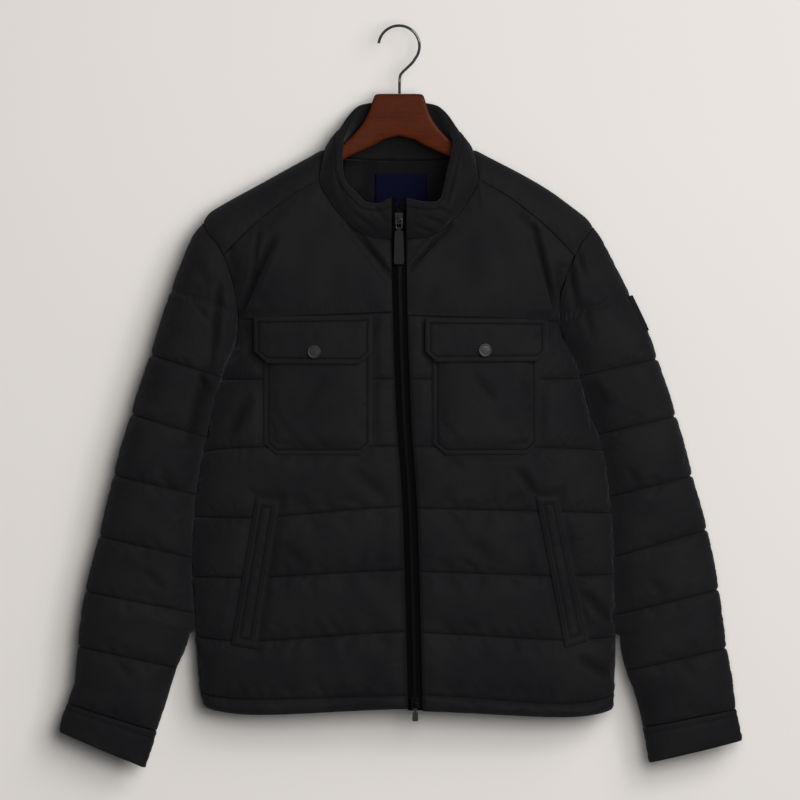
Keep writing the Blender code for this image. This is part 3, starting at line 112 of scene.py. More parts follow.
# Stitched lines of the quilting, the chest seam first and the hem last.
# z at: left side, left middle, left zip edge, right zip edge, right middle, right side
QUILT_ROWS = (
    (-372, -367.5, -363, -367, -370.5, -374), (-448, -447, -447, -447, -447, -446),
    (-542, -533, -532, -532, -534, -539), (-621, -622, -608, -610, -615, -617),
    (-697, -698, -688, -690, -696, -693), (-772, -778, -766, -767, -777, -771),
    (-843, -852, -847, -846, -858, -843), (-862, -872, -864, -867, -875, -864),
)
# Main folds of the fronts: x and z of both ends, half width, depth
FOLD_ROWS = (
    (-178, -262, -185, -322, 3.5, 4.5), (-158, -268, -202, -370, 5, 7.5), (-213, -243, -213, -300, 4, 3.0),
    (171, -254, 197, -360, 4, 7.5), (150, -236, 176, -262, 4, 3.0), (-70, -240, -8, -320, 3.8, 8.0),
    (64, -252, 14, -310, 3.2, 6.5), (-190, -470, -214, -520, 8, 4.0), (-60, -560, -22, -590, 9, 3.0),
    (150, -561, 170, -588, 6, 4.2), (235, -717, 272, -755, 7, 4.5), (228, -799, 269, -823, 7, 4.5),
    (-150, -655, -120, -680, 9, 2.5), (90, -650, 120, -676, 9, 2.5),
)
LIP, LIP_AT, LIP_WIDTH = 0.2, 2, 0.8    # a fold's lips: height as a share of its depth, place and width in its
                                        # half widths
FOLD_ENDS, FOLD_FADING = 0.04, 0.4      # how much of a fold is left at its ends, and how late it fades
FOLD_FLOOR = 3.2        # no fold is pressed further under the plain surface
FOLD_FOR_FULL_SHADE = 6.5       # a fold this deep gets the darkest painted shade
SEAM_PAINTED_SHADE = 0.75      # painted shade beside a seam, and along a stitched line, as shares of the darkest
LINE_PAINTED_SHADE = 0.8

# Softer troughs of the upper fronts, in the same columns
SOFT_FOLDS = {
    LEFT: (
        (-205, -282, -209, -330, 6, 2.2), (-92, -232, -98, -268, 15, 1.8), (-118, -250, -126, -330, 12, 1.0),
        (-78, -300, -84, -356, 13, 0.9), (-44, -280, -14, -300, 4, 1.4), (-150, -232, -170, -262, 6, 1.3),
        (-188, -330, -160, -362, 7, 1.4),
    ),
    RIGHT: (
        (72, -252, 30, -292, 5, 2.0), (66, -250, 18, -282, 4, 1.8), (60, -244, 22, -268, 3.5, 1.2),
        (90, -262, 92, -338, 14, 1.3), (118, -240, 136, -300, 12, 1.2), (205, -296, 200, -352, 5, 2.2),
        (150, -228, 172, -256, 6, 1.2), (46, -330, 30, -362, 9, 1.2),
    ),
}
# Folds of the sleeves' fronts, in the same columns
SLEEVE_FOLDS = {
    LEFT: (
        (-226, -328, -234, -434, 5, 6.0), (-238, -430, -262, -528, 9, 5.5), (-258, -352, -236, -378, 4, 2.5),
        (-250, -440, -236, -470, 5, 3.0), (-256, -300, -240, -330, 6, 2.0), (-300, -560, -282, -590, 6, 2.5),
        (-318, -690, -296, -716, 6, 2.5), (-360, -800, -338, -826, 6, 2.2),
    ),
    RIGHT: (
        (211, -283, 226, -360, 4.5, 5.5), (222, -276, 236, -318, 4, 3.0), (232, -352, 244, -392, 5, 3.0),
        (246, -452, 262, -480, 6, 3.0), (290, -560, 306, -588, 6, 2.5), (318, -700, 338, -722, 6, 2.5),
        (352, -800, 374, -824, 6, 2.2),
    ),
}
# Ends of the lines across each sleeve: left outer z, left inner z, right outer z, right inner z, half depth
SLEEVE_LINES = (
    (-252, -410, -257, -410, 40), (-416.6, -444.5, -421.6, -443, 43), (-491.5, -520.7, -494, -517, 41),
    (-569, -593, -569.6, -595.6, 39), (-646, -673, -638, -671.8, 37), (-716, -743, -714, -745.5, 35),
    (-785.7, -812.8, -788, -816.6, 32), (-858, -893, -865, -888, 28), (-894.5, -940, -905.5, -933.5, 25),
)
CUFF_LINE = 7           # row of the cuff's seam
CUFF_STITCHED = 2       # stitched row of a cuff's own grid
# Stitched line across the sleeve cap: x outer, z outer, x inner, z inner, as distances from the mid plane
CAP_LINES = {LEFT: (289.6, -334, 211, -364.5), RIGHT: (290.8, -343, 204.5, -369.6)}
# Outer edge of the sleeves: z, left, right
SLEEVE_OUTER = (
    (-935, 432, 438), (-905.5, 431, 435.6), (-891.5, 430.5, 433), (-858, 421, 426.5), (-829, 411, 422.8),
    (-786, 407, 415.3), (-720, 398.5, 406.4), (-655, 382, 394.4), (-583, 365, 375.4), (-506, 343.5, 354.4),
    (-415, 314, 325.2), (-335, 286.5, 296), (-298, 270.5, 281.5), (-276, 261, 272), (-263, 254, 265.5),
    (-252, 246, 258),
)
# Inner edge of the sleeves below the elbow, where they leave the body: z, left, right
SLEEVE_INNER = (
    (-937, 322, 318.8), (-888, 306, 310), (-843, 291.5, 298.5), (-816, 283, 288), (-785, 270, 281.5),
    (-768, 265, 280.5),
)
SLEEVE_CLEAR = -1.0     # the padding of a sleeve and of the body's side press into each other by this much
SLEEVE_OUTER_EASE = 0.8     # the quilting carries the sleeve this far out to its outer edge
SLEEVE_SEAM = 0.6       # between a sleeve's first ring and the armhole
SLEEVE_POWER = 2.3
ARMHOLE_TOP = 3.0       # the armhole ends this far over the sleeve's first line
SLEEVE_RISE = 5.5
SLEEVE_FORWARD = -5.0   # the sleeves hang a little in front of the mid plane
PATCH_ANGLE = 26.0      # the patch reaches this far round the right sleeve, to both sides of its outer edge
PATCH_LINES = (0.5, 0.78)   # its upper and lower edge along SLEEVE_LINES
PATCH_WALL, PATCH_REACH = 0.9, 3

# Collar: outer face's top edge against the neck seam's rows: distance from the mid plane, y, z
COLLAR_TOP = {
    LEFT: (
        (9.4, -64, -219.5), (27, -65, -227), (42, -66, -226), (57, -65, -213), (69, -61, -202),
        (74, -55, -184), (76, -46, -163), (77, -28, -141), (69, -4, -121), (51, 18, -98), (26, 27, -94.5),
        (0, 30, -94.5),
    ),
    RIGHT: (
        (9.4, -64, -220), (28, -66, -224), (46, -67, -226), (57, -65, -219), (60, -61, -202), (63, -55, -184),
        (69, -46, -162), (74, -29, -141), (68, 0, -121), (49, 18, -98), (24, 27, -94.5), (0, 30, -94.5),
    ),
}
COLLAR_SEAM = 1.0       # between the collar's foot and the neck seam
COLLAR_WALL = 10.0      # wall of the collar at its fullest
COLLAR_SWELL = 5.0      # how far its outer face bows outwards
# Round the collar, up its outer face, over its rolled top and down inside: share of its height, offset outwards
COLLAR_PROFILE = (
    (0.0, 0.0), (0.25, COLLAR_SWELL * 0.85), (0.55, COLLAR_SWELL), (0.82, COLLAR_SWELL * 0.6), (0.96, 0.0),
    (1.0, -COLLAR_WALL / 2), (0.95, -COLLAR_WALL * 0.9), (0.75, -COLLAR_WALL), (0.35, -COLLAR_WALL * 0.85),
    (0.0, -WALL),
)
COLLAR_ROWS, COLLAR_STITCHED = 34, [13, 22]     # rows of the collar's plain grid, and its stitched ones
RIM_LINE = 22           # row of its refined grid where its rolled edge is topstitched
NECK_LAP = 5.0          # how far the lap inside the neck seam reaches down
COLLAR_DARKENING = 0.3     # the collar's shell is painted this much darker all over
COLLAR_CREASED = 28     # rows of its refined grid that are its outer face
# Creases of the collar: x and z of both ends, half width, depth
COLLAR_FOLDS = (
    (20, -254, 46, -263, 2.6, 2.4), (34, -243, 56, -252, 2.6, 2.0), (48, -230, 66, -240, 2.8, 1.8),
    (68, -190, 60, -232, 3.2, 1.8), (-32, -226, -14, -252, 3.2, 1.8), (-60, -236, -26, -262, 3.0, 1.8),
    (-80, -186, -66, -226, 3.5, 1.6), (-84, -160, -88, -190, 4.0, 1.2), (80, -150, 86, -186, 4.0, 1.2),
)
# Lining that shows inside the neck and the plain label on it: x range, z range
LINING_AREA = ((-72, 72), (-286, -177))
LINING_CLEAR, LINING_WALL = 2.2, 1.2
LABEL_AREA = ((-30.5, 35.6), (-228, -183))
LABEL_WALL = 0.8
# Chest pockets and flaps: left edge, right edge, top, bottom, chamfer across, chamfer up
POCKETS = {"left": (-171.5, -33, -372, -543, 17, 15), "right": (41.9, 177.8, -376, -543, 17, 15)}
FLAPS = {"left": (-184.8, -33, -368, -429, 18, 15), "right": (33, 189, -371, -426, 14, 13)}
SNAPS = {"left": (-106.7, -413.8), "right": (108.3, -411.7)}
# Creases of the pockets, flaps and welts: x and z of both ends, half width, depth
POCKET_FOLDS = {
    LEFT: ((-96, -448, -122, -492, 7, 1.3), (-60, -470, -48, -512, 6, 1.0), (-150, -500, -128, -528, 5, 1.1),
           (-110, -520, -88, -534, 5, 0.8)),
    RIGHT: ((96.5, -444.5, 122, -475.5, 5.5, 2.2), (154, -447, 167, -470, 5, 1.7), (62, -510, 80, -531, 5, 1.3),
            (148, -512, 164, -532, 5, 1.5), (118, -486, 140, -505, 8, 0.9)),
}
FLAP_FOLDS = {
    LEFT: ((-108, -384, -106, -402, 6, 0.9), (-160, -398, -150, -414, 5, 0.6), (-66, -382, -56, -404, 7, 0.6)),
    RIGHT: ((108, -380, 109, -400, 5, 1.2), (150, -384, 158, -404, 7, 0.6), (64, -392, 74, -410, 6, 0.6)),
}
WELT_FOLDS = {
    LEFT: ((-175, -640, -184, -652, 4, 0.8), (-186, -690, -192, -704, 4, 0.9), (-196, -735, -190, -752, 4, 0.8)),
    RIGHT: ((196, -632, 204, -646, 3.5, 1.0), (200, -668, 212, -684, 4, 1.2), (208, -706, 218, -724, 4, 1.3),
            (214, -742, 226, -756, 4, 1.1)),
}
RIM_PROFILE = (0.4, 0.85, 1.0, 0.72)    # height of a laid piece's edge, up to its topstitching, as shares of its wall
TOPSTITCH = 3           # the topstitching is this many points inside the edge
LAID_RUN = 12.0         # the swelling round a laid piece rises to full this far from it
POCKET_LIE = 0.9
POCKET_WALL = 2.4
POCKET_RISE = 5.0
FLAP_WALL = 2.8
FLAP_STAND = 3.0        # a flap's lower edge stands off its pocket by this much more
SNAP_DIAMETER = 17.0
SNAP_HEIGHT = 3.2
# Turned outline of a press stud from the back: height and radius as shares of the whole
SNAP_PROFILE = ((0.0, 0.0), (0.0, 0.94), (0.3, 0.99), (0.6, 1.0), (0.85, 0.97), (0.98, 0.91), (1.0, 0.85),
                (0.95, 0.79), (0.86, 0.74), (0.84, 0.7), (0.9, 0.6), (0.96, 0.4), (0.99, 0.2), (1.0, 0.0))
# Hand pocket welts: x and z of top left, top right, bottom left, bottom right
WELTS = {
    "left": ((-180.8, -595.6), (-150.4, -599.4), (-212.9, -782.8), (-180.3, -788.7)),
    "right": ((172.6, -594.2), (201.5, -594.2), (210.3, -787.3), (240.5, -778.5)),
}
WELT_WALL = 4.0

# Zip
TAPE_WALL = 1.2
TAPE_UNDER = 2.6        # the tapes lie this far behind the front edges' surface
TEETH_UNDER = 0.9       # and the teeth's face this far
CHAIN_HALF = 3.1        # half width of the meshed teeth
CHAIN_HEIGHT = 2.4
SLIDER_Z = -244.5
ZIP_LOW = -866.0
TOOTH_PITCH = 3.0
# Outline of one tooth from the tape's edge to its head: reach across, half height along the zip, half depth
TOOTH = ((3.1, 0.5, 0.75), (2.4, 0.62, 1.15), (0.9, 0.5, 1.2), (0.2, 0.62, 1.2), (-0.75, 0.72, 1.15),
         (-1.15, 0.45, 0.8))

# Hanger
HOOK_RADIUS = 26.0
HOOK_WIRE = 3.5
HOOK_CENTRE_Z = -24.25
HOOK_START, HOOK_END = 172.0, -30.0     # angles of its round part
# Its stem from there down into the wood: x, z
HOOK_BEND = ((17.6, -44.5), (10.2, -52.0), (4.8, -57.2), (2.0, -61.0), (0.9, -66.0), (0.6, -74.0))
HANGER_TOP_Z = -85.0
HANGER_ARM = 21.6       # height of an arm
HANGER_UNDER = 9.5      # the arms' top lies this far under the cloth's outer face
# Upper and lower edge of the hanger's middle: x, top, bottom, half thickness
HANGER_ROWS = (
    (0, -85, -138.4, 7), (20, -85, -143.5, 7), (28.5, -85.6, -148.6, 7), (31, -87.5, -150, 7),
    (37, -105, -153, 7.2), (43, -118, -155.7, 7.4), (51, -129, -159.2, 7.7), (60, -139, -163.4, 8.2),
    (69, -147, -168.5, 8.6), (78, -158, -177, 9), (88, -169.5, -188, 9.3),
)
# Half thickness of an arm along x
HANGER_ARM_ROWS = ((106, 10), (120, 10.5), (145, 11), (175, 12), (200, 12), (212, 12), (217, 9.5))
HANGER_TIP = (211, 213, 214.5, 215.8, 216.6, 217)   # sections of an arm's rounded tip
HANGER_Y = -2.0

# ---------------------------------------------------------------- sizes of the sewing and of the cloth's settling
GAP = 4.5               # spacing of the cloth's points while it settles
SOLVER_SCALE = 10.0     # the cloth settles at ten times its size, which suits the solver's own constants
FRAMES = 9              # steps the cloth settles for
UNDER_PIECES = 6.0      # the cloth is held flat this far inside the outline of what lies on it
SPARE_MIDDLE = 0.08     # share of the spare length along a channel's middle
SINK = 1.5              # settled cloth sinks no further than this under its plain surface
BLEND_POWER = 0.6       # how steeply a panel's swelling starts at its edges
MERGE = 1e-6            # points closer than this, in metres, are one
# The solver's settings for taffeta over padding
TAFFETA = {
    "quality": 6, "mass": 0.3, "tension_stiffness": 40, "compression_stiffness": 40, "shear_stiffness": 15,
    "bending_stiffness": 0.3, "tension_damping": 5, "compression_damping": 5, "shear_damping": 5,
    "bending_damping": 0.5, "air_damping": 2,
}
THREAD = 0.55           # thickness of the sewing thread
STITCH_PITCH = 3.4      # from one stitch to the next
STITCH_LENGTH = 2.6
# One stitch: place along it, height of the thread's middle and its thickness, as shares
STITCH_PROFILE = ((-0.5, -0.35, 0.5), (-0.3, 0.3, 1.0), (0.0, 0.45, 1.0), (0.3, 0.3, 1.0), (0.5, -0.35, 0.5))
THREAD_PULL = 1.8       # how far the thread draws the cloth in

# ---------------------------------------------------------------- studio, in metres
WALL_Y, FLOOR_Z = 0.0555, -1.9
STUDIO_PLANES = (
    ("studio_wall", ((-4, WALL_Y, FLOOR_Z), (4, WALL_Y, FLOOR_Z), (4, WALL_Y, 3), (-4, WALL_Y, 3))),
    ("studio_floor", ((-4, -8, FLOOR_Z), (4, -8, FLOOR_Z), (4, 8, FLOOR_Z), (-4, 8, FLOOR_Z))),
)
# Soft boxes: name, place, size, watts, whether glossy surfaces mirror it
SOFTBOXES = (
    ("key_softbox", (1.3, -4.0, 0.4), 2.2, 100, False),
    ("fill_softbox", (0.45, -4.4, -0.3), 1.3, 72, False),
    ("gloss_softbox", (1.9, -2.9, 1.3), 1.5, 17, True),
    ("back_softbox", (0.8, 3.4, 0.1), 2.4, 40, False),
)
LIT_POINT = (0, 0, -0.5)
SENSOR = 36.0           # in millimetres
VIEW_WIDTH = 1.016      # of the view, in the jacket's plane
VIEW_X, VIEW_Z = 0.0013, -0.4737

# Pieces that were settled, by name: their outer grid in millimetres, for the sewing that follows their surface.
SETTLED = {}
# The lines, plain grid and normals that a sleeve was padded from, by the sleeve's name.
PLAIN = {}


# ================================================================ numbers to curves
def column(rows, index):
    """One column of a table."""
    return np.array([row[index] for row in rows], dtype=float)


def smooth(value, keys, heights):
    """Monotone cubic curve through a table's points, held flat past both ends. keys ascend."""
    keys, heights = np.asarray(keys, float), np.asarray(heights, float)
    step = np.diff(keys)
    slope = np.diff(heights) / step
    inner = np.where(slope[:-1] * slope[1:] > 0, 2 * slope[:-1] * slope[1:] / (slope[:-1] + slope[1:] + 1e-12), 0.0)
    tangent = np.concatenate(([slope[0]], inner, [slope[-1]]))
    value = np.clip(np.asarray(value, float), keys[0], keys[-1])
    at = np.clip(np.searchsorted(keys, value) - 1, 0, len(keys) - 2)
    t = (value - keys[at]) / step[at]
    return ((1 + 2 * t) * (1 - t) ** 2 * heights[at] + t * (1 - t) ** 2 * step[at] * tangent[at]
            + t * t * (3 - 2 * t) * heights[at + 1] + t * t * (t - 1) * step[at] * tangent[at + 1])


def curve(rows, value, index=1):
    """Smooth curve of one column of a table over its first column."""
    return smooth(value, column(rows, 0), column(rows, index))


def rows_at(rows, places):
    """Points on the smooth curve through a table's rows, at fractional row numbers."""
    keys = np.arange(len(rows))
    return np.stack([smooth(places, keys, column(rows, axis)) for axis in range(len(rows[0]))], axis=-1)


def signed_power(value, power):
    return np.sign(value) * np.abs(value) ** power


def ease(value):
    """Rises smoothly from 0 to 1 as value goes from 0 to 1."""
    value = np.clip(value, 0.0, 1.0)
    return value * value * (3 - 2 * value)


def pillow(fraction):
    """Height of a quilted channel, 0 on its stitched lines and 1 along its middle."""
    fraction = np.clip(fraction, 0.0, 1.0)
    return (4 * fraction * (1 - fraction)) ** 0.6


def lengths(points):
    """Length along a row of points up to each one."""
    return np.concatenate([[0], np.cumsum(np.linalg.norm(np.diff(points, axis=0), axis=1))])


def unit(vectors):
    """The same vectors, each of length one."""
    return vectors / np.maximum(np.linalg.norm(vectors, axis=-1, keepdims=True), 1e-9)


# ================================================================ the body's surface
def side(z, hand):
    """Distance of the armhole seam or side fold from the mid plane."""
    return curve(SIDE_ROWS, z, COLUMN[hand])


def section(z):
    """Centre and half width of the body's plan section at height z."""
    left, right = side(z, LEFT), side(z, RIGHT)
    margin = ARMHOLE_MARGIN * np.clip((np.asarray(z) - ARMPIT_Z) / ARMHOLE_RUN, 0, 1) ** 1.3
    return (right - left) / 2, (right + left) / 2 + margin


def crest(x):
    return curve(CREST_ROWS, x)


def depth(x, z, face):
    """Distance of the body's surface from the mid plane, on its front or its back."""
    centre, half = section(z)
    across = np.clip(np.abs(x - centre) / half, 0, 1)
    below = np.clip((crest(x) - z) / ROUND_HEIGHT, 0, 1)
    full = curve(DEPTH_ROWS, z, COLUMN[face])
    return full * (1 - across ** SECTION_POWER) ** (1 / SECTION_POWER) * np.sqrt(1 - (1 - below) ** 2)


def angle_of(x, z):
    """The plan section's angle at x, 0 at the centre and +-90 degrees at the sides."""
    centre, half = section(z)
    return np.arcsin(signed_power(np.clip((x - centre) / half, -1, 1), SECTION_POWER / 2))


def x_of(angle, z):
    centre, half = section(z)
    return centre + half * signed_power(np.sin(angle), 2 / SECTION_POWER)


def face_points(x, z, face):
    return np.stack([x, face * depth(x, z, face), z], axis=-1)


def roll_of(x, z, face):
    """Unrolled height over the shoulder: 0 on the crest, positive down the back, negative down the front."""
    below = np.maximum(crest(x) - z, 0) / ROUND_HEIGHT
    roll = np.where(below < 1, np.arccos(1 - np.clip(below, 0, 1)), below - 1 + math.pi / 2)
    return np.sign(face) * roll


def unrolled_z(x, roll):
    """Height of the body's surface at an unrolled height."""
    size = np.abs(roll)
    fall = np.where(size < math.pi / 2, 1 - np.cos(size), 1 + size - math.pi / 2)
    return crest(x) - ROUND_HEIGHT * fall


def rolled_points(x, roll):
    """Points of the body's surface from their x and unrolled height."""
    z = unrolled_z(x, roll)
    return np.where((roll < 0)[..., None], face_points(x, z, FRONT), face_points(x, z, BACK))


def zip_edge(z, hand):
    """Edge of a front beside the zip."""
    return curve(ZIP_ROWS, z) + hand * ZIP_HALF


def body_normals(points):
    """Outward unit normals of the body's surface at points on it, from the gradient of its implicit form."""
    on_front = points[..., 1] < 0

    def level(x, y, z):
        centre, half = section(z)
        below = np.minimum((crest(x) - z) / ROUND_HEIGHT, 1)
        full = np.where(on_front, curve(DEPTH_ROWS, z, COLUMN[FRONT]), curve(DEPTH_ROWS, z, COLUMN[BACK]))
        rounding = signed_power(2 * below - below ** 2, SECTION_POWER / 2)
        across = (np.abs(x - centre) / half) ** SECTION_POWER
        return np.abs(y / full) ** SECTION_POWER - rounding * (1 - across)

    x, y, z = (points[..., axis] for axis in range(3))
    step = SLOPE_STEP
    return unit(np.stack([level(x + step, y, z) - level(x - step, y, z),
                          level(x, y + step, z) - level(x, y - step, z),
                          level(x, y, z + step) - level(x, y, z - step)], axis=-1))


def grid_normals(grid, ring=False):
    """Unit normals of a grid of points; ring joins the last column to the first."""
    if ring:
        across = np.roll(grid, -1, axis=1) - np.roll(grid, 1, axis=1)
    else:
        across = np.gradient(grid, axis=1)
    return unit(np.cross(across, np.gradient(grid, axis=0)))


def facing(grid, outward):
    """Unit normals of a grid, turned to the side that outward points to."""
    normal = grid_normals(grid)
    return -normal if np.mean(np.sum(normal * outward, axis=-1)) < 0 else normal


def folds(x, z, rows=FOLD_ROWS):
    """Depth of the main folds at a point; the cloth stands up a little along both lips of each."""
    total = np.zeros_like(x)
    for x0, z0, x1, z1, width, fall in rows:
        along = np.array([x1 - x0, z1 - z0], float)
        t = np.clip(((x - x0) * along[0] + (z - z0) * along[1]) / (along @ along), 0, 1)
        away = np.hypot(x - x0 - t * along[0], z - z0 - t * along[1]) / width
        fading = (4 * t * (1 - t) + FOLD_ENDS) ** FOLD_FADING
        total += fall * fading * (np.exp(-away ** 2) - LIP * np.exp(-((away - LIP_AT) / LIP_WIDTH) ** 2))
    return total


def cut_corners(box):
    """Outline of a pocket or flap with its two lower corners cut off, as (x, z) from the top left corner down."""
    left, right, top, bottom, across, up = box
    return [(left, top), (left, bottom + up), (left + across, bottom), (right - across, bottom),
            (right, bottom + up), (right, top)]


def outside_distance(x, z, outline):
    """Signed distance from a convex outline whose corners run left, bottom, right; negative inside it."""
    return np.max([((x - x0) * (z1 - z0) - (z - z0) * (x1 - x0)) / math.hypot(x1 - x0, z1 - z0)
                   for (x0, z0), (x1, z1) in zip(outline, outline[1:] + outline[:1])], axis=0)


def laid_distance(x, z):
    """Signed distance to the nearest pocket, flap or welt; negative under one."""
    outlines = [cut_corners(box) for box in (*POCKETS.values(), *FLAPS.values())]
    outlines += [[top_left, low_left, low_right, top_right]
                 for top_left, top_right, low_left, low_right in WELTS.values()]
    return np.min([outside_distance(x, z, outline) for outline in outlines], axis=0)


def waves(x, z, seed, size):
    """Slow unevenness between -1 and 1, its waves about size millimetres long."""
    random = np.random.default_rng(seed)
    total = np.zeros(np.shape(x))
    for _ in range(7):
        turn, phase, scale = random.uniform(0, math.pi), random.uniform(0, 2 * math.pi), random.uniform(0.7, 1.6)
        total += np.sin((x * math.cos(turn) + z * math.sin(turn)) * 2 * math.pi / (size * scale) + phase)
    return total / 4


def uneven(shape, seed, amount):
    """Small seeded unevenness, so that the cloth doesn't buckle evenly."""
    return np.random.default_rng(seed).normal(0, amount, shape)


# ================================================================ meshes
def finish_mesh(mesh, finishes, finish_of=None, sharp=None, merged=False):
    """Gives a closed mesh its materials, turns its faces outwards and shades it smooth, but for sharp edges."""
    mesh.materials.clear()
    for finish in finishes:
        mesh.materials.append(finish)
    if finish_of:
        mesh.polygons.foreach_set("material_index", finish_of)
    body = bmesh.new()
    body.from_mesh(mesh)
    if merged:
        bmesh.ops.remove_doubles(body, verts=body.verts, dist=MERGE)
    bmesh.ops.recalc_face_normals(body, faces=body.faces)
    body.to_mesh(mesh)
    body.free()
    mesh.shade_smooth()
    if sharp:
        mesh.set_sharp_from_angle(angle=math.radians(sharp))
    return mesh


def mesh_from(name, points, faces, finishes, finish_of=None, sharp=None):
    """Closed mesh from points in millimetres; finish_of gives each face's material."""
    mesh = bpy.data.meshes.new(name)
    mesh.from_pydata((np.asarray(points) * MM).tolist(), [], faces)
    return finish_mesh(mesh, finishes, finish_of, sharp)


def mesh_of(made):
    """Mesh of an object with its modifiers or bevel; the object itself is taken away."""
    bpy.context.scene.collection.objects.link(made)
    mesh = bpy.data.meshes.new_from_object(made.evaluated_get(bpy.context.evaluated_depsgraph_get()))
    bpy.data.objects.remove(made)
    return mesh


def add_piece(name, mesh, replaced=()):
    """Puts a mesh in the scene as a piece that rides on the root body and stands for CAD nodes."""
    piece = bpy.data.objects.new(name, mesh)
    bpy.context.scene.collection.objects.link(piece)
    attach(piece, "root")
    if replaced:
        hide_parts(*replaced)
    return piece


def refine(grid, ring=False):
    """The same surface with a point added between each two by cubic interpolation."""
    def doubled(values, closed):
        if closed:
            before, after, far = (np.roll(values, shift, axis=0) for shift in (1, -1, -2))
            middle = (9 * (values + after) - before - far) / 16
            return np.stack([values, middle], axis=1).reshape(-1, *values.shape[1:])
        longer = np.concatenate([2 * values[:1] - values[1:2], values, 2 * values[-1:] - values[-2:-1]])
        result = np.empty((2 * len(values) - 1, *values.shape[1:]))
        result[::2] = values
        result[1::2] = (9 * (longer[1:-2] + longer[2:-1]) - longer[:-3] - longer[3:]) / 16
        return result

    return doubled(doubled(grid, False).swapaxes(0, 1), ring).swapaxes(0, 1)


def grid_faces(rows, columns, ring=False):
    """Faces of a grid of points; ring joins the last column to the first."""
    return [(r * columns + c, r * columns + (c + 1) % columns,
             (r + 1) * columns + (c + 1) % columns, (r + 1) * columns + c)
            for r in range(rows - 1) for c in range(columns if ring else columns - 1)]


def tube_faces(first, rings, sides):
    """Faces of a closed tube whose rings of points start at number first."""
    walls = [tuple(first + point for point in face) for face in grid_faces(rings, sides, True)]
    return walls + [tuple(range(first, first + sides)),
                    tuple(range(first + (rings - 1) * sides, first + rings * sides))]


def wall_faces(rows, columns, ring=False):
    """Outer, rim and inner faces of a wall between a refined outer grid and an inner grid of rows by columns."""
    fine_rows = 2 * rows - 1
    fine_columns = 2 * columns if ring else 2 * columns - 1
    spans = columns if ring else columns - 1
    start = fine_rows * fine_columns

    def out(row, col):
        return row * fine_columns + col % fine_columns

    def behind(row, col):
        return start + row * columns + col % columns

    inner = [tuple(start + face[at] for at in (0, 3, 2, 1)) for face in grid_faces(rows, columns, ring)]
    rim = []
    for row in (0, rows - 1):
        for c in range(spans):
            rim.append((out(2 * row, 2 * c), out(2 * row, 2 * c + 1), behind(row, c)))
            rim.append((out(2 * row, 2 * c + 1), out(2 * row, 2 * c + 2), behind(row, c + 1), behind(row, c)))
    for col in () if ring else (0, columns - 1):
        for r in range(rows - 1):
            rim.append((out(2 * r, 2 * col), out(2 * r + 1, 2 * col), behind(r, col)))
            rim.append((out(2 * r + 1, 2 * col), out(2 * r + 2, 2 * col), behind(r + 1, col), behind(r, col)))
    return grid_faces(fine_rows, fine_columns, ring), rim, inner


def creased(fine, base, normal, depth_of, ring):
    """Presses folds into a refined grid, no deeper than the padding under it allows; also gives each point's painted
    shade, darker in deeper folds.
    """
    base, normal = refine(base, ring), refine(normal, ring)
    over = np.sum((fine - base) * normal, axis=-1)
    fall = np.minimum(depth_of(fine[..., 0], fine[..., 2]), np.maximum(over + FOLD_FLOOR, 0))
    fall = fall * (fine[..., 1] * base[..., 1].mean() > 0)
    return fine - normal * fall[..., None], np.clip(fall / FOLD_FOR_FULL_SHADE, 0, 1)


def store_painted_shade(mesh, painted_shade):
    """Stores the painted shade of a mesh's first points, which darkens the shell's colour in creases and along seams.
    """
    values = np.zeros(len(mesh.vertices))
    values[:painted_shade.size] = painted_shade.ravel()
    mesh.attributes.new("painted_shade", "FLOAT", "POINT").data.foreach_set("value", values)


def wall_piece(name, replaced, outer, inner, inside, ring=False, stitched_rows=(), creases=None, lines=0.0, taut=0.0):
    """Padded wall: the settled outer grid, refined, over a plainer inner grid, as a piece.

    Along stitched_rows of the outer grid the thread draws the cloth in. creases gives the plain grid, its normals
    and a function for the depth of the folds. lines is the painted shade along topstitching on the refined grid, and
    taut is 1 at the columns of the outer grid that lie against another piece, where the thread draws nothing in. The
    shell's painted shade is stored for the folds, the seams and the stitched rows.
    """
    fine = refine(outer, ring)
    # painted shade: the shell is darkened in the folds, along the topstitching, beside the seams and along stitched
    # rows
    painted_shade = np.zeros(fine.shape[:2])
    if creases:
        fine, painted_shade = creased(fine, *creases, ring)
    painted_shade = np.maximum(painted_shade, lines)
    painted_shade[[0, -1]] = SEAM_PAINTED_SHADE
    if not ring:
        painted_shade[:, [0, -1]] = SEAM_PAINTED_SHADE
    for row in stitched_rows:
        inward = unit(inner[row] - outer[row]) * np.broadcast_to(1 - taut, len(outer[row]))[:, None]
        fine[2 * row] += refine(np.stack([inward, inward]), ring)[0] * THREAD_PULL
        painted_shade[2 * row] = LINE_PAINTED_SHADE
    SETTLED[name] = fine
    front, rim, back = wall_faces(*outer.shape[:2], ring)
    # the rim faces in the seams take the inside finish too: where that is the dark lining it stands for the turned-in
    # edge and paints shade into the seam lines
    mesh = mesh_from(name, np.concatenate([fine.reshape(-1, 3), inner.reshape(-1, 3)]), front + rim + back,
                     (finishes()["shell"], finishes()[inside]), [0] * len(front) + [1] * (len(rim) + len(back)))
    store_painted_shade(mesh, painted_shade)
    return add_piece(name, mesh, replaced)


def thin_piece(name, replaced, outer, inner, finish):
    """Thin unpadded piece of one finish, its inner face meshed half as fine as its outer one."""
    rows, columns = ((size + 1) // 2 for size in outer.shape[:2])
    outer, inner = (grid[:2 * rows - 1, :2 * columns - 1] for grid in (outer, inner))
    front, rim, back = wall_faces(rows, columns)
    points = np.concatenate([outer.reshape(-1, 3), inner[::2, ::2].reshape(-1, 3)])
    return add_piece(name, mesh_from(name, points, front + rim + back, (finishes()[finish],)), replaced)


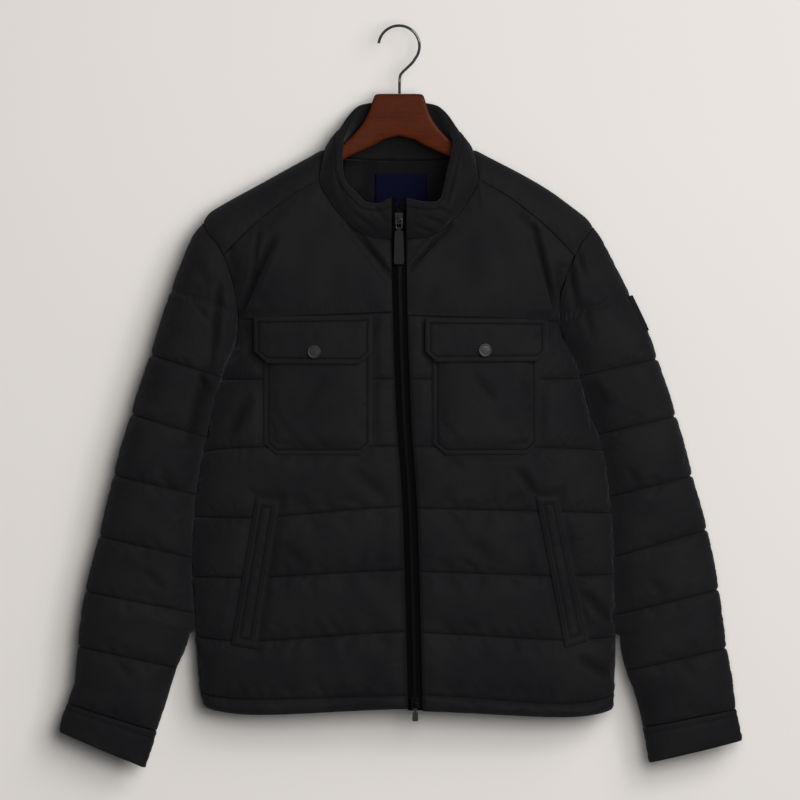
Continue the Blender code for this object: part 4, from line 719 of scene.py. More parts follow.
# ================================================================ settling of the cloth
def settle(name, start, normal, pinned, spare, growth, pressure, ring=False):
    """Lets cloth take up its spare length over the padding's pressure between the points that stitches hold.

    start is the grid it begins from, normal the outward direction and pinned a mask of held points. growth is how
    much longer the cloth is cut than what it covers, where spare is 1; it has no spare length where that is 0.
    """
    faces = grid_faces(*start.shape[:2], ring)
    if np.mean(np.sum(grid_normals(start, ring) * normal, axis=-1)) < 0:
        faces = [face[::-1] for face in faces]
    mesh = bpy.data.meshes.new(name + "_cloth")
    mesh.from_pydata((start * MM * SOLVER_SCALE).reshape(-1, 3).tolist(), [], faces)
    cloth = bpy.data.objects.new(name + "_cloth", mesh)
    scene = bpy.context.scene
    scene.collection.objects.link(cloth)
    cloth.vertex_groups.new(name="stitched").add(np.flatnonzero(pinned.ravel()).tolist(), 1.0, "REPLACE")
    tight = cloth.vertex_groups.new(name="tight")
    for at, share in enumerate(np.broadcast_to(spare, pinned.shape).ravel()):
        tight.add([at], float(1 - share), "REPLACE")
    modifier = cloth.modifiers.new("settle", "CLOTH")
    cut = modifier.settings
    for key, value in TAFFETA.items():
        setattr(cut, key, value)
    cut.vertex_group_mass, cut.vertex_group_shrink = "stitched", "tight"
    cut.shrink_min, cut.shrink_max = -growth, 0
    cut.use_pressure = cut.use_pressure_volume = True
    cut.target_volume = 0
    cut.uniform_pressure_force = pressure
    cut.effector_weights.gravity = 0
    modifier.collision_settings.use_collision = False
    modifier.point_cache.frame_start, modifier.point_cache.frame_end = 1, FRAMES
    for step in range(1, FRAMES + 1):
        scene.frame_set(step)
    evaluated = cloth.evaluated_get(bpy.context.evaluated_depsgraph_get())
    settled = np.empty(start.size)
    evaluated.data.vertices.foreach_get("co", settled)
    scene.frame_set(1)
    bpy.data.objects.remove(cloth)
    bpy.data.meshes.remove(mesh)
    return settled.reshape(start.shape) / (MM * SOLVER_SCALE)


def capped(settled, base, normal, low, high):
    """Holds the settled cloth between two heights over its base; high is approached gently from three fifths up."""
    over = np.sum((settled - base) * normal, axis=-1)
    free = 0.6 * high
    room = np.maximum(high - free, 0.01)
    held = np.where(over > free, free + room * np.tanh((over - free) / room), np.maximum(over, low))
    return settled + normal * (held - over)[..., None]


def padded_piece(name, replaced, base, normal, rise, stitched, spare, growth, push, low, high, fill, wall=WALL,
                 inside="lining", ring=False, **looks):
    """Padded cloth that rises from its plain base and settles between its stitches, as a piece.

    push is its share of the padding's pressure, low and high bound its height over the base, and wall is the
    thickness behind the base.
    """
    settled = settle(name, base + normal * rise[..., None], normal, stitched, spare, growth,
                     sizes().padding_pressure * push, ring)
    outer = capped(settled, base, normal, low, high)
    wall_piece(name, replaced, outer, base - normal * wall, inside, ring, **looks)


def spare_at(place):
    """Share of the spare length at a place in a channel: all beside its stitched lines, little along its middle."""
    return SPARE_MIDDLE + (1 - SPARE_MIDDLE) * np.abs(2 * place - 1) ** 2


def edge_blend(grid, first_run, last_run):
    """Falls to 0 at the two side edges of a grid over the given distances."""
    first = np.linalg.norm(grid - grid[:, :1], axis=-1) / first_run
    last = np.linalg.norm(grid - grid[:, -1:], axis=-1) / last_run
    return ease(np.minimum(first, last)) ** BLEND_POWER


def rim_of(shape):
    """How many rows or columns each point of a grid lies from its border."""
    rows, columns = (np.minimum(np.arange(count), count - 1 - np.arange(count)) for count in shape)
    return np.minimum(rows[:, None], columns)


# ================================================================ materials
def linear(code):
    """Linear colour from an sRGB hex value such as 242426."""
    values = [int(code[at:at + 2], 16) / 255 for at in (0, 2, 4)]
    return tuple(v / 12.92 if v <= 0.04045 else ((v + 0.055) / 1.055) ** 2.4 for v in values)


def add_node(tree, kind, inputs=None, **settings):
    """Adds one shader node; inputs gives each socket a value, another node (its first output) or its output."""
    made = tree.nodes.new("ShaderNode" + kind)
    for key, value in settings.items():
        setattr(made, key, value)
    for socket, value in (inputs or {}).items():
        if isinstance(value, bpy.types.Node):
            value = value.outputs[0]
        if isinstance(value, bpy.types.NodeSocket):
            tree.links.new(value, made.inputs[socket])
        else:
            made.inputs[socket].default_value = value
    return made


def new_material(name):
    """Empty material; also gives the function that adds its nodes, and the piece's own coordinates."""
    finish = bpy.data.materials.new(name)
    finish.use_nodes = True
    finish.node_tree.nodes.clear()
    node = functools.partial(add_node, finish.node_tree)
    return finish, node, node("TexCoord").outputs["Object"]


def blended(node, share, dark, light, dark_at, light_at):
    """Colour ramp between two colours, reached at two values of share."""
    ramp = node("ValToRGB", {"Fac": share})
    for stop, place, colour in zip(ramp.color_ramp.elements, (dark_at, light_at), (dark, light)):
        stop.position, stop.color = place, colour
    return ramp


def multiplied(node, colour, share):
    return node("MixRGB", {"Fac": 1.0, "Color1": colour, "Color2": share}, blend_type="MULTIPLY")


def polyester_shell(name, light, dark):
    """Matte polyester taffeta with a brushed water-repellent face: near black, a soft sheen at grazing angles, and
    painted shade in its creases and seams.
    """
    finish, node, where = new_material(name)
    # slow change of shade where the padding moved the nap
    cloud = node("TexNoise", {"Vector": where, "Scale": 14.0, "Detail": 3.0, "Roughness": 0.6})
    # painted shade: the colour darkens to 0.38 of itself in creases, beside seams and along stitched lines
    painted_shade = node("Attribute", attribute_name="painted_shade").outputs["Fac"]
    painted_shade_factor = node("MapRange", {"Value": painted_shade, "To Min": 1.0, "To Max": 0.38})
    colour = multiplied(node, blended(node, cloud, dark, light, 0.32, 0.7), painted_shade_factor)
    # warp and weft: threads 0.25 mm apart don't show from a step away, so the slubs are drawn 1.4 mm long
    along = node("Mapping", {"Vector": where, "Scale": (700.0, 700.0, 2600.0)})
    across = node("Mapping", {"Vector": where, "Scale": (2600.0, 2600.0, 700.0)})
    warp, weft = (node("TexNoise", {"Vector": drawn, "Scale": 1.0, "Detail": 1.0}) for drawn in (across, along))
    weave = node("Math", {0: warp, 1: weft}, operation="ADD")
    # crumple of thin cloth over padding, 6 to 20 mm across
    crumple = node("TexNoise", {"Vector": where, "Scale": 90.0, "Detail": 4.0, "Roughness": 0.55, "Distortion": 0.6})
    low = node("Bump", {"Strength": 0.3, "Distance": 0.0005, "Height": crumple})
    fine = node("Bump", {"Strength": 0.25, "Distance": 0.00008, "Height": weave, "Normal": low})
    rough = node("MapRange", {"Value": cloud, "To Min": 0.66, "To Max": 0.76})
    node("OutputMaterial", {"Surface": node("BsdfPrincipled", {
        "Base Color": colour, "Roughness": rough, "IOR": 1.5, "Specular IOR Level": 0.3, "Sheen Weight": 0.06,
        "Sheen Roughness": 0.5, "Sheen Tint": (0.8, 0.82, 0.9, 1), "Normal": fine})})
    return finish


def satin_lining(name, colour):
    """Black polyester satin: smooth, with soft streaks of light along its floats."""
    finish, node, where = new_material(name)
    stretched = node("Mapping", {"Vector": where, "Scale": (160.0, 160.0, 24.0)})
    ripple = node("TexNoise", {"Vector": stretched, "Scale": 1.0, "Detail": 3.0})
    bump = node("Bump", {"Strength": 0.5, "Distance": 0.0006, "Height": ripple})
    rough = node("MapRange", {"Value": ripple, "To Min": 0.34, "To Max": 0.46})
    node("OutputMaterial", {"Surface": node("BsdfPrincipled", {
        "Base Color": colour, "Roughness": rough, "IOR": 1.5, "Anisotropic": 0.4, "Normal": bump})})
    return finish


def woven(name, colour, rib_mm, tilt=(0.0, 0.0, 0.0), roughness=0.7, depth_mm=0.15):
    """Narrow woven goods such as zip tape, label damask or twill: even ribs at their real spacing."""
    finish, node, where = new_material(name)
    turned = node("Mapping", {"Vector": where, "Rotation": tilt})
    ribs = node("TexWave", {"Vector": turned, "Scale": math.pi / (10 * rib_mm * MM), "Distortion": 0.4,
                            "Detail": 1.0}, bands_direction="Z").outputs["Fac"]
    grain = node("TexNoise", {"Vector": where, "Scale": 900.0, "Detail": 2.0})
    height = node("Math", {0: ribs, 1: grain, 2: 0.2}, operation="MULTIPLY_ADD")
    bump = node("Bump", {"Strength": 0.6, "Distance": depth_mm * MM, "Height": height})
    darker = tuple(value * 0.6 for value in colour[:3]) + (1.0,)
    shade = node("MixRGB", {"Fac": ribs, "Color1": darker, "Color2": colour})
    node("OutputMaterial", {"Surface": node("BsdfPrincipled", {
        "Base Color": shade, "Roughness": roughness, "IOR": 1.5, "Specular IOR Level": 0.25, "Normal": bump})})
    return finish


def plain_metal(name, colour, roughness, wear):
    """Plated zinc or steel: metallic, its edges and hollows a little uneven from tumbling."""
    finish, node, where = new_material(name)
    scuffs = node("TexNoise", {"Vector": where, "Scale": 500.0, "Detail": 4.0, "Roughness": 0.7})
    rough = node("MapRange", {"Value": scuffs, "From Min": 0.3, "From Max": 0.75, "To Min": roughness,
                              "To Max": roughness + wear})
    bump = node("Bump", {"Strength": 0.15, "Distance": 0.00005, "Height": scuffs})
    node("OutputMaterial", {"Surface": node("BsdfPrincipled", {
        "Base Color": colour, "Metallic": 1.0, "Roughness": rough, "Normal": bump})})
    return finish


def moulded(name, colour, roughness, grain_mm):
    """Moulded nylon or rubber: a fine matt grain from its tool."""
    finish, node, where = new_material(name)
    grain = node("TexNoise", {"Vector": where, "Scale": 1 / (grain_mm * MM), "Detail": 2.0})
    bump = node("Bump", {"Strength": 0.3, "Distance": 0.00006, "Height": grain})
    rough = node("MapRange", {"Value": grain, "To Min": roughness - 0.06, "To Max": roughness + 0.06})
    node("OutputMaterial", {"Surface": node("BsdfPrincipled", {
        "Base Color": colour, "Roughness": rough, "IOR": 1.5, "Normal": bump})})
    return finish


def stained_beech(name, light, dark):
    """Beech stained mahogany red under satin varnish: fine streaks along the arms and a clear soft gloss."""
    finish, node, where = new_material(name)
    # growth streaks 2 to 4 mm wide, drawn out along the arms
    drawn = node("Mapping", {"Vector": where, "Scale": (22.0, 260.0, 260.0)})
    streak = node("TexNoise", {"Vector": drawn, "Scale": 1.0, "Detail": 5.0, "Roughness": 0.6, "Distortion": 0.8})
    # beech's short flecks, 0.4 mm wide
    flecked = node("Mapping", {"Vector": where, "Scale": (320.0, 2400.0, 2400.0)})
    fleck = node("TexNoise", {"Vector": flecked, "Scale": 1.0, "Detail": 2.0})
    pores = node("MapRange", {"Value": fleck, "From Min": 0.35, "From Max": 0.5, "To Min": 0.72, "To Max": 1.0})
    colour = multiplied(node, blended(node, streak, dark, light, 0.28, 0.76), pores)
    bump = node("Bump", {"Strength": 0.2, "Distance": 0.00008, "Height": fleck})
    node("OutputMaterial", {"Surface": node("BsdfPrincipled", {
        "Base Color": colour, "Roughness": 0.45, "IOR": 1.5, "Specular IOR Level": 0.35, "Coat Weight": 0.18,
        "Coat Roughness": 0.25, "Normal": bump})})
    return finish


def painted_wall(name, colour):
    """Smooth wall paint, seen from its front only, so that the jacket shows from behind as well."""
    finish, node, where = new_material(name)
    blotch = node("TexNoise", {"Vector": where, "Scale": 3.0, "Detail": 2.0})
    shade = multiplied(node, colour, node("MapRange", {"Value": blotch, "To Min": 0.975, "To Max": 1.0}))
    behind = node("NewGeometry").outputs["Backfacing"]
    paint = node("BsdfDiffuse", {"Color": shade, "Roughness": 0.5})
    node("OutputMaterial", {"Surface": node("MixShader", {"Fac": behind, 1: paint, 2: node("BsdfTransparent")})})
    return finish


def sizes():
    return bpy.context.scene.jacket_sizes


def colour_of(name):
    """One of the colour settings, opaque."""
    return (*getattr(bpy.context.scene.jacket_colours, name), 1.0)


FINISHES = {}


def finishes():
    """The object's materials by name, made once from the colour settings."""
    if FINISHES:
        return FINISHES
    FINISHES.update({
        "shell": polyester_shell("matte_charcoal_polyester_taffeta", colour_of("shell_light"),
                                 colour_of("shell_dark")),
        "lining": satin_lining("black_polyester_satin", colour_of("lining")),
        "label": woven("navy_damask_label", colour_of("label"), 0.7, roughness=0.55),
        "patch": woven("charcoal_twill_patch", colour_of("patch"), 1.1, tilt=(0.0, 0.8, 0.0)),
        "tape": woven("herringbone_zip_tape", colour_of("tape"), 0.9, roughness=0.9),
        "teeth": moulded("moulded_acetal_teeth", colour_of("teeth"), 0.45, 0.8),
        "rubber": moulded("matt_moulded_rubber", colour_of("rubber"), 0.55, 0.35),
        "nickel": plain_metal("tumbled_nickel_plate", colour_of("nickel"), 0.28, 0.2),
        "gunmetal": plain_metal("gunmetal_plated_brass", colour_of("gunmetal"), 0.36, 0.18),
        "stud": plain_metal("brushed_nickel_plated_brass", colour_of("stud"), 0.5, 0.15),
        "chrome": plain_metal("polished_chrome_wire", colour_of("chrome"), 0.09, 0.1),
        "wood": stained_beech("mahogany_stained_beech", colour_of("wood_light"), colour_of("wood_dark")),
        "thread": woven("spun_polyester_thread", colour_of("thread"), 0.6, roughness=0.75, depth_mm=0.05),
    })
    return FINISHES


# ================================================================ body panels
def chest_seam(x, hand):
    """Height of the chest seam, straight from the zip to the armhole."""
    values = QUILT_ROWS[0]
    at_side, at_zip = (values[0], values[2]) if hand == LEFT else (values[5], values[3])
    return at_zip + (at_side - at_zip) * (np.abs(x) - ZIP_HALF) / (side(at_side, hand) - ZIP_HALF)


def channel_rows(lines):
    """Heights of all rows from a list of stitched lines, and each row's place in its channel."""
    rows, places = [], []
    for upper, lower in zip(lines, lines[1:]):
        steps = max(3, round(float(np.mean(upper - lower)) / GAP))
        for step in range(steps):
            rows.append(upper + (lower - upper) * step / steps)
            places.append(step / steps)
    return np.array(rows + [lines[-1]]), np.array(places + [0.0])


def count_of(length):
    """How many points a run of that length gets."""
    return max(4, round(length / GAP) + 1)


def side_angle(z, hand):
    """The plan section's angle at the armhole seam, and at the side fold below the armpit."""
    return np.where(z > ARMPIT_Z + 1, angle_of(hand * side(z, hand), z), hand * math.pi / 2)


def quilted_panel(name, replaced, base, places, blend, wave_seed, seed, cap, laid=None, creases=None, taut=0.0):
    """Quilted panel over its plain grid, whose rows have the given places in their channels; gives its thread rows.

    laid is the distance to what lies on it, and cap is how far its stitched lines may rise.
    """
    normal = body_normals(base)
    laid = np.full(base.shape[:2], np.inf) if laid is None else laid
    stitched = (places == 0)[:, None] | (laid < -UNDER_PIECES) | (rim_of(laid.shape) == 0)
    swell = 1 + 0.12 * waves(base[..., 0], base[..., 2], wave_seed, 90)
    rise = QUILT_RISE * pillow(places)[:, None] * blend * swell
    rise = np.where(stitched, 0.0, rise + uneven(rise.shape, seed, 0.2) * (laid > 0))
    rows = np.flatnonzero(places == 0)[1:-1]
    padded_piece(name, replaced, base, normal, rise, stitched, spare_at(places)[:, None], sizes().quilt_growth, 1.0,
                 -SINK * blend, cap + (QUILT_RISE + 2.5) * blend, 0.35, stitched_rows=rows,
                 creases=creases and (base, normal, creases), taut=taut)
    return 2 * rows


def quilted_front(which, hand):
    """Front from the chest seam to the hem, from the zip edge to the armhole and side fold."""
    across = np.linspace(0, 1, count_of(285))
    across = np.sin(across * math.pi / 2) * 0.25 + across * 0.75
    lines = [smooth(across, (0, 0.5, 1), values[2::-1] if hand == LEFT else values[3:]) for values in QUILT_ROWS]
    start, end = angle_of(zip_edge(lines[0], hand), lines[0]), side_angle(lines[0], hand)
    lines[0] = chest_seam(x_of(start + (end - start) * across, lines[0]), hand) - SEAM
    z, places = channel_rows(lines)
    start, end = angle_of(zip_edge(z, hand), z), side_angle(z, hand)
    base = face_points(x_of(start + (end - start) * across, z), z, FRONT)
    base[:, -1, 1] = np.minimum(base[:, -1, 1], -SEAM)
    laid = laid_distance(base[..., 0], base[..., 2])
    blend = edge_blend(base, ZIP_RUN, SIDE_RUN) * ease(laid / LAID_RUN)
    return quilted_panel("padded_front_" + which, ["front_" + which], base, places, blend, 7 + hand, 11 + hand, 0.5,
                         laid, lambda x, z: folds(x, z) * (laid_distance(x, z) > 0),
                         1 - ease(np.arange(len(across))[::-1] / 6))


def quilted_back(name):
    """Back from the yoke to the hem, from side fold to side fold."""
    across = np.linspace(-1, 1, count_of(545))
    across = 0.85 * across + 0.15 * np.sin(across * math.pi / 2)
    share = (across + 1) / 2
    lines = [np.full_like(share, YOKE_BACK_Z - SEAM)]
    lines += [values[0] + (values[5] - values[0]) * share for values in QUILT_ROWS]
    z, places = channel_rows(lines)
    left, right = side_angle(z, LEFT), side_angle(z, RIGHT)
    base = face_points(x_of(left + (right - left) * share, z), z, BACK)
    base[:, [0, -1], 1] = np.maximum(base[:, [0, -1], 1], SEAM)
    return quilted_panel(name, ["back_panel"], base, places, edge_blend(base, SIDE_RUN, SIDE_RUN), 9, 23, 0.8)


def seam_points(rows, face, hand, places):
    """Points (x, roll) along a neck or shoulder seam, at fractional rows of its table."""
    keys, x = np.arange(len(rows)), column(rows, 0)
    roll = roll_of(hand * x, column(rows, 1), face)
    return np.stack([hand * smooth(places, keys, x), smooth(places, keys, roll)], axis=-1)


def neck_points(hand, places):
    return seam_points(NECK_ROWS, column(NECK_ROWS, 2), hand, places)


def plain_panel(name, replaced, base, climb, laid, swell, seed, low, cap, creases=None):
    """Unquilted panel over its plain grid; climb runs from 0 to 1 up its rows and swell is how uneven it rises."""
    normal = body_normals(base)
    ends = ease(np.minimum(climb, 1 - climb) * 6) ** BLEND_POWER
    blend = ends * edge_blend(base, ZIP_RUN, ZIP_RUN) * ease(laid / LAID_RUN)
    stitched = (laid < -UNDER_PIECES) | (rim_of(base.shape[:2]) == 0)
    rise = np.where(stitched, 0.0, PLAIN_RISE * blend * swell + uneven(blend.shape, seed, 0.05))
    padded_piece(name, replaced, base, normal, rise, stitched, 1 - blend ** 2, sizes().plain_growth, 0.35,
                 low, cap[0] + (PLAIN_RISE + cap[1]) * blend, 0.25, creases=creases and (base, normal, creases))


def plain_front(which, hand):
    """Upper front between the chest seam, the zip, the neck and shoulder seams and the armhole."""
    last = len(SHOULDER_ROWS) - 1
    neck = neck_points(hand, np.linspace(0, SHOULDER_ROW, count_of(135)))
    shoulder = seam_points(SHOULDER_ROWS, FRONT, hand, np.linspace(0, last, count_of(155))[1:])
    top_x, top_roll = np.concatenate([neck, shoulder]).T
    top_z = unrolled_z(top_x, top_roll) - SEAM
    steps = lengths(np.stack([top_x, top_z], axis=-1))
    across = 0.5 * steps / steps[-1] + 0.5 * np.linspace(0, 1, len(steps))
    low = chest_seam(zip_edge(-367.0, hand) * (1 - across) + hand * side(-370.0, hand) * across, hand) + SEAM
    climb = np.linspace(0, 1, count_of(135))[:, None]
    z = low + (top_z - low) * climb
    edge, top_edge = zip_edge(z, hand), zip_edge(top_z, hand)
    top_share = (top_x - top_edge) / (hand * side(top_z, hand) - top_edge)
    share = across + (top_share - across) * climb
    base = face_points(edge + (hand * side(z, hand) - edge) * share, z, FRONT)
    swell = 1 + 0.2 * waves(base[..., 0], base[..., 2], 17 + hand, 120)

    def pressed(x, z):
        return (folds(x, z) + folds(x, z, SOFT_FOLDS[hand])) * (laid_distance(x, z) > 0)

    plain_panel("padded_front_yoke_" + which, ["front_yoke_" + which], base, climb,
                laid_distance(base[..., 0], base[..., 2]), swell, 31 + hand, -2.0, (0.5, 2.5), pressed)


def back_yoke(name):
    """Plain yoke over the back and the shoulders, down to the front shoulder seams."""
    halves = []
    for hand in (LEFT, RIGHT):
        shoulder = seam_points(SHOULDER_ROWS, FRONT, hand,
                               np.linspace(len(SHOULDER_ROWS) - 1, 0, count_of(155))[:-1])
        neck = neck_points(hand, np.linspace(SHOULDER_ROW, len(NECK_ROWS) - 1, count_of(165)))
        halves.append(np.concatenate([shoulder, neck]))
    top = np.concatenate([halves[0], halves[1][-2::-1]])
    top[:, 1] += 2.0 * SEAM / ROUND_HEIGHT
    count = len(top)
    climb = np.linspace(0, 1, count_of(210))[:, None]
    low_x = np.linspace(-side(YOKE_BACK_Z, LEFT), side(YOKE_BACK_Z, RIGHT), count)
    low_roll = roll_of(low_x, np.full(count, YOKE_BACK_Z + SEAM), BACK)
    roll = low_roll + (top[:, 1] - low_roll) * climb
    straight = low_x + (top[:, 0] - low_x) * climb
    x = straight.copy()
    # the side edges are found on the armhole seam step by step, and carry their neighbours with them
    for col, hand in ((0, LEFT), (-1, RIGHT)):
        for _ in range(12):
            x[:, col] = hand * side(unrolled_z(x[:, col], roll[:, col]), hand)
    position = np.linspace(0, 1, count)
    x[:, 1:-1] = (straight + (x[:, :1] - straight[:, :1]) * (1 - position) ** 3
                  + (x[:, -1:] - straight[:, -1:]) * position ** 3)[:, 1:-1]
    base = rolled_points(x, roll)
    swell = 1 + 0.25 * waves(base[..., 0], base[..., 1] + base[..., 2], 19, 110)
    plain_panel(name, ["back_yoke"], base, climb, np.full(x.shape, np.inf), swell, 41, -SINK, (0.8, 2.0))


# ================================================================ sleeves
def sleeve_ring(hand, line, angles):
    """One ring of a sleeve; line counts along SLEEVE_LINES, angles start at the outer edge."""
    keys = np.arange(len(SLEEVE_LINES))
    first = 0 if hand == LEFT else 2
    outer_z, inner_z = (np.interp(line, keys, column(SLEEVE_LINES, first + edge)) for edge in (0, 1))
    half = smooth(line, keys, column(SLEEVE_LINES, 4))
    outer_x = curve(SLEEVE_OUTER, outer_z, COLUMN[hand]) - SLEEVE_OUTER_EASE
    inner_x = np.where(inner_z < SLEEVE_INNER[-1][0], curve(SLEEVE_INNER, inner_z, COLUMN[hand]),
                       side(inner_z, hand) + SLEEVE_CLEAR)
    swing = signed_power(np.cos(angles), 2 / SLEEVE_POWER)
    x = hand * ((outer_x + inner_x) / 2 + (outer_x - inner_x) / 2 * swing)
    z = (outer_z + inner_z) / 2 + (outer_z - inner_z) / 2 * swing
    y = SLEEVE_FORWARD - half * signed_power(np.sin(angles), 2 / SLEEVE_POWER)
    return np.stack([x, y, z], axis=-1)


def armhole_ring(hand, angles):
    """Armhole seam of the body, with the same angles as a sleeve's rings."""
    top = SLEEVE_LINES[0][0 if hand == LEFT else 2] + ARMHOLE_TOP
    swing = signed_power(np.cos(angles), 2 / SLEEVE_POWER)
    z = (top + ARMPIT_Z) / 2 + (top - ARMPIT_Z) / 2 * swing
    x = hand * side(z, hand)
    y = np.where(np.sin(angles) > 1e-6, -depth(x, z, FRONT), np.where(np.sin(angles) < -1e-6, depth(x, z, BACK), 0.0))
    return np.stack([x, y, z], axis=-1)


def sleeve_surface(hand, lines, angles):
    """Grid of a sleeve's plain surface, which starts on the armhole and settles into its own rings."""
    rings = np.array([sleeve_ring(hand, line, angles) for line in lines])
    apart = armhole_ring(hand, angles)
    apart[:, 0] += hand * SLEEVE_SEAM * (1 - ease(-0.6 - 1.6 * np.cos(angles)))
    away = apart - sleeve_ring(hand, 0.0, angles)
    return rings + away * (1 - ease(np.asarray(lines) / 0.9))[:, None, None]


def outward_normals(base):
    """Normals of a sleeve or cuff, turned away from its axis."""
    normal = grid_normals(base, True)
    outward = base - base.mean(axis=1, keepdims=True)
    return normal * np.sign(np.sum(normal * outward, axis=(1, 2)))[:, None, None]


def above_cap_line(base, hand):
    """Height of a sleeve's points over the stitched line across its cap."""
    x0, z0, x1, z1 = CAP_LINES[hand]
    return base[..., 2] - (z0 + (np.abs(base[..., 0]) - x0) * (z1 - z0) / (x1 - x0))


def make_sleeve(which, hand):
    """Quilted sleeve, with the stitched line across its cap; gives the rows of its grid that carry thread."""
    name = "padded_sleeve_" + which
    angles = np.linspace(0, 2 * math.pi, count_of(290) // 2 * 2, endpoint=False)
    cap_steps, tube_steps = round(165 / GAP), round(72 / GAP)
    cap = [(step / cap_steps) ** 1.15 for step in range(cap_steps)]
    tube = [1 + step / tube_steps for step in range((CUFF_LINE - 1) * tube_steps)]
    lines = np.array(cap + tube + [CUFF_LINE - 0.005])
    base = sleeve_surface(hand, lines, angles)
    above = above_cap_line(base, hand)
    stitched = np.zeros(base.shape[:2], bool)
    for col in range(len(angles)):
        crossing = np.flatnonzero((above[2:cap_steps - 2, col] > 0) & (above[3:cap_steps - 1, col] <= 0))
        if len(crossing):
            # the column's nearest point moves onto the line
            row = int(crossing[0]) + 2
            share = above[row, col] / (above[row, col] - above[row + 1, col])
            onto = base[row, col] + (base[row + 1, col] - base[row, col]) * share
            row += int(share > 0.5)
            base[row, col] = onto
            stitched[row, col] = True
    rows = np.arange(cap_steps, len(lines) - 1, tube_steps)
    stitched[[0, *rows, -1]] = True
    # 0 along the inner edge, where the sleeve lies against the body, and 1 away from it
    clear = ease((1 + np.cos(angles)) / 0.5)
    normal = outward_normals(base)
    normal[0] = unit(body_normals(armhole_ring(hand, angles)) * clear[:, None] + normal[0] * (1 - clear[:, None]))
    above = above_cap_line(base, hand)
    share = np.where(above > 0, np.clip(above / 90, 0, 0.5), (lines - np.floor(lines))[:, None])
    # the channels stay low beside the body and along the outer edge, where the sleeve hangs taut
    near = clear * (1 - 0.7 * ease((np.cos(angles) - 0.55) / 0.45))
    rise = pillow(share) * np.where(above > 0, ease(lines / 0.12)[:, None], 1.0)
    rise = SLEEVE_RISE * rise * (0.1 + 0.9 * near)
    rise = rise * (1 + 0.15 * waves(base[..., 0], base[..., 2] + base[..., 1], 27 + hand, 80))
    rise = np.where(stitched, 0.0, rise + uneven(rise.shape, 53 + hand, 0.2))
    high = 0.6 + ease(lines / 0.15)[:, None] * (0.3 + (SLEEVE_RISE + 2.0) * near)
    padded_piece(name, ["sleeve_" + which], base, normal, rise, stitched, spare_at(share) * near,
                 sizes().quilt_growth, 1.0, -SINK * near, high, 0.35, ring=True, stitched_rows=rows,
                 creases=(base, normal, lambda x, z: folds(x, z, SLEEVE_FOLDS[hand])), taut=1 - clear)
    PLAIN[name] = (lines, refine(base, True), refine(normal, True))
    return 2 * rows


def make_cuff(which, hand):
    """Plain cuff, sewn on below the last quilted channel."""
    angles = np.linspace(0, 2 * math.pi, count_of(260) // 2 * 2, endpoint=False)
    base = sleeve_surface(hand, np.linspace(CUFF_LINE + 0.012, CUFF_LINE + 1, 12), angles)
    stitched = np.zeros(base.shape[:2], bool)
    stitched[[0, CUFF_STITCHED, -1]] = True
    rise = np.where(stitched, 0.0, 0.9 + uneven(stitched.shape, 61 + hand, 0.15))
    rise[CUFF_STITCHED] = 0.5
    rise[-1] = 0.3
    padded_piece("padded_cuff_" + which, ["cuff_" + which], base, outward_normals(base), rise, stitched, 1.0,
                 sizes().plain_growth, 0.25, -0.5, 3.0, 0.15, ring=True)


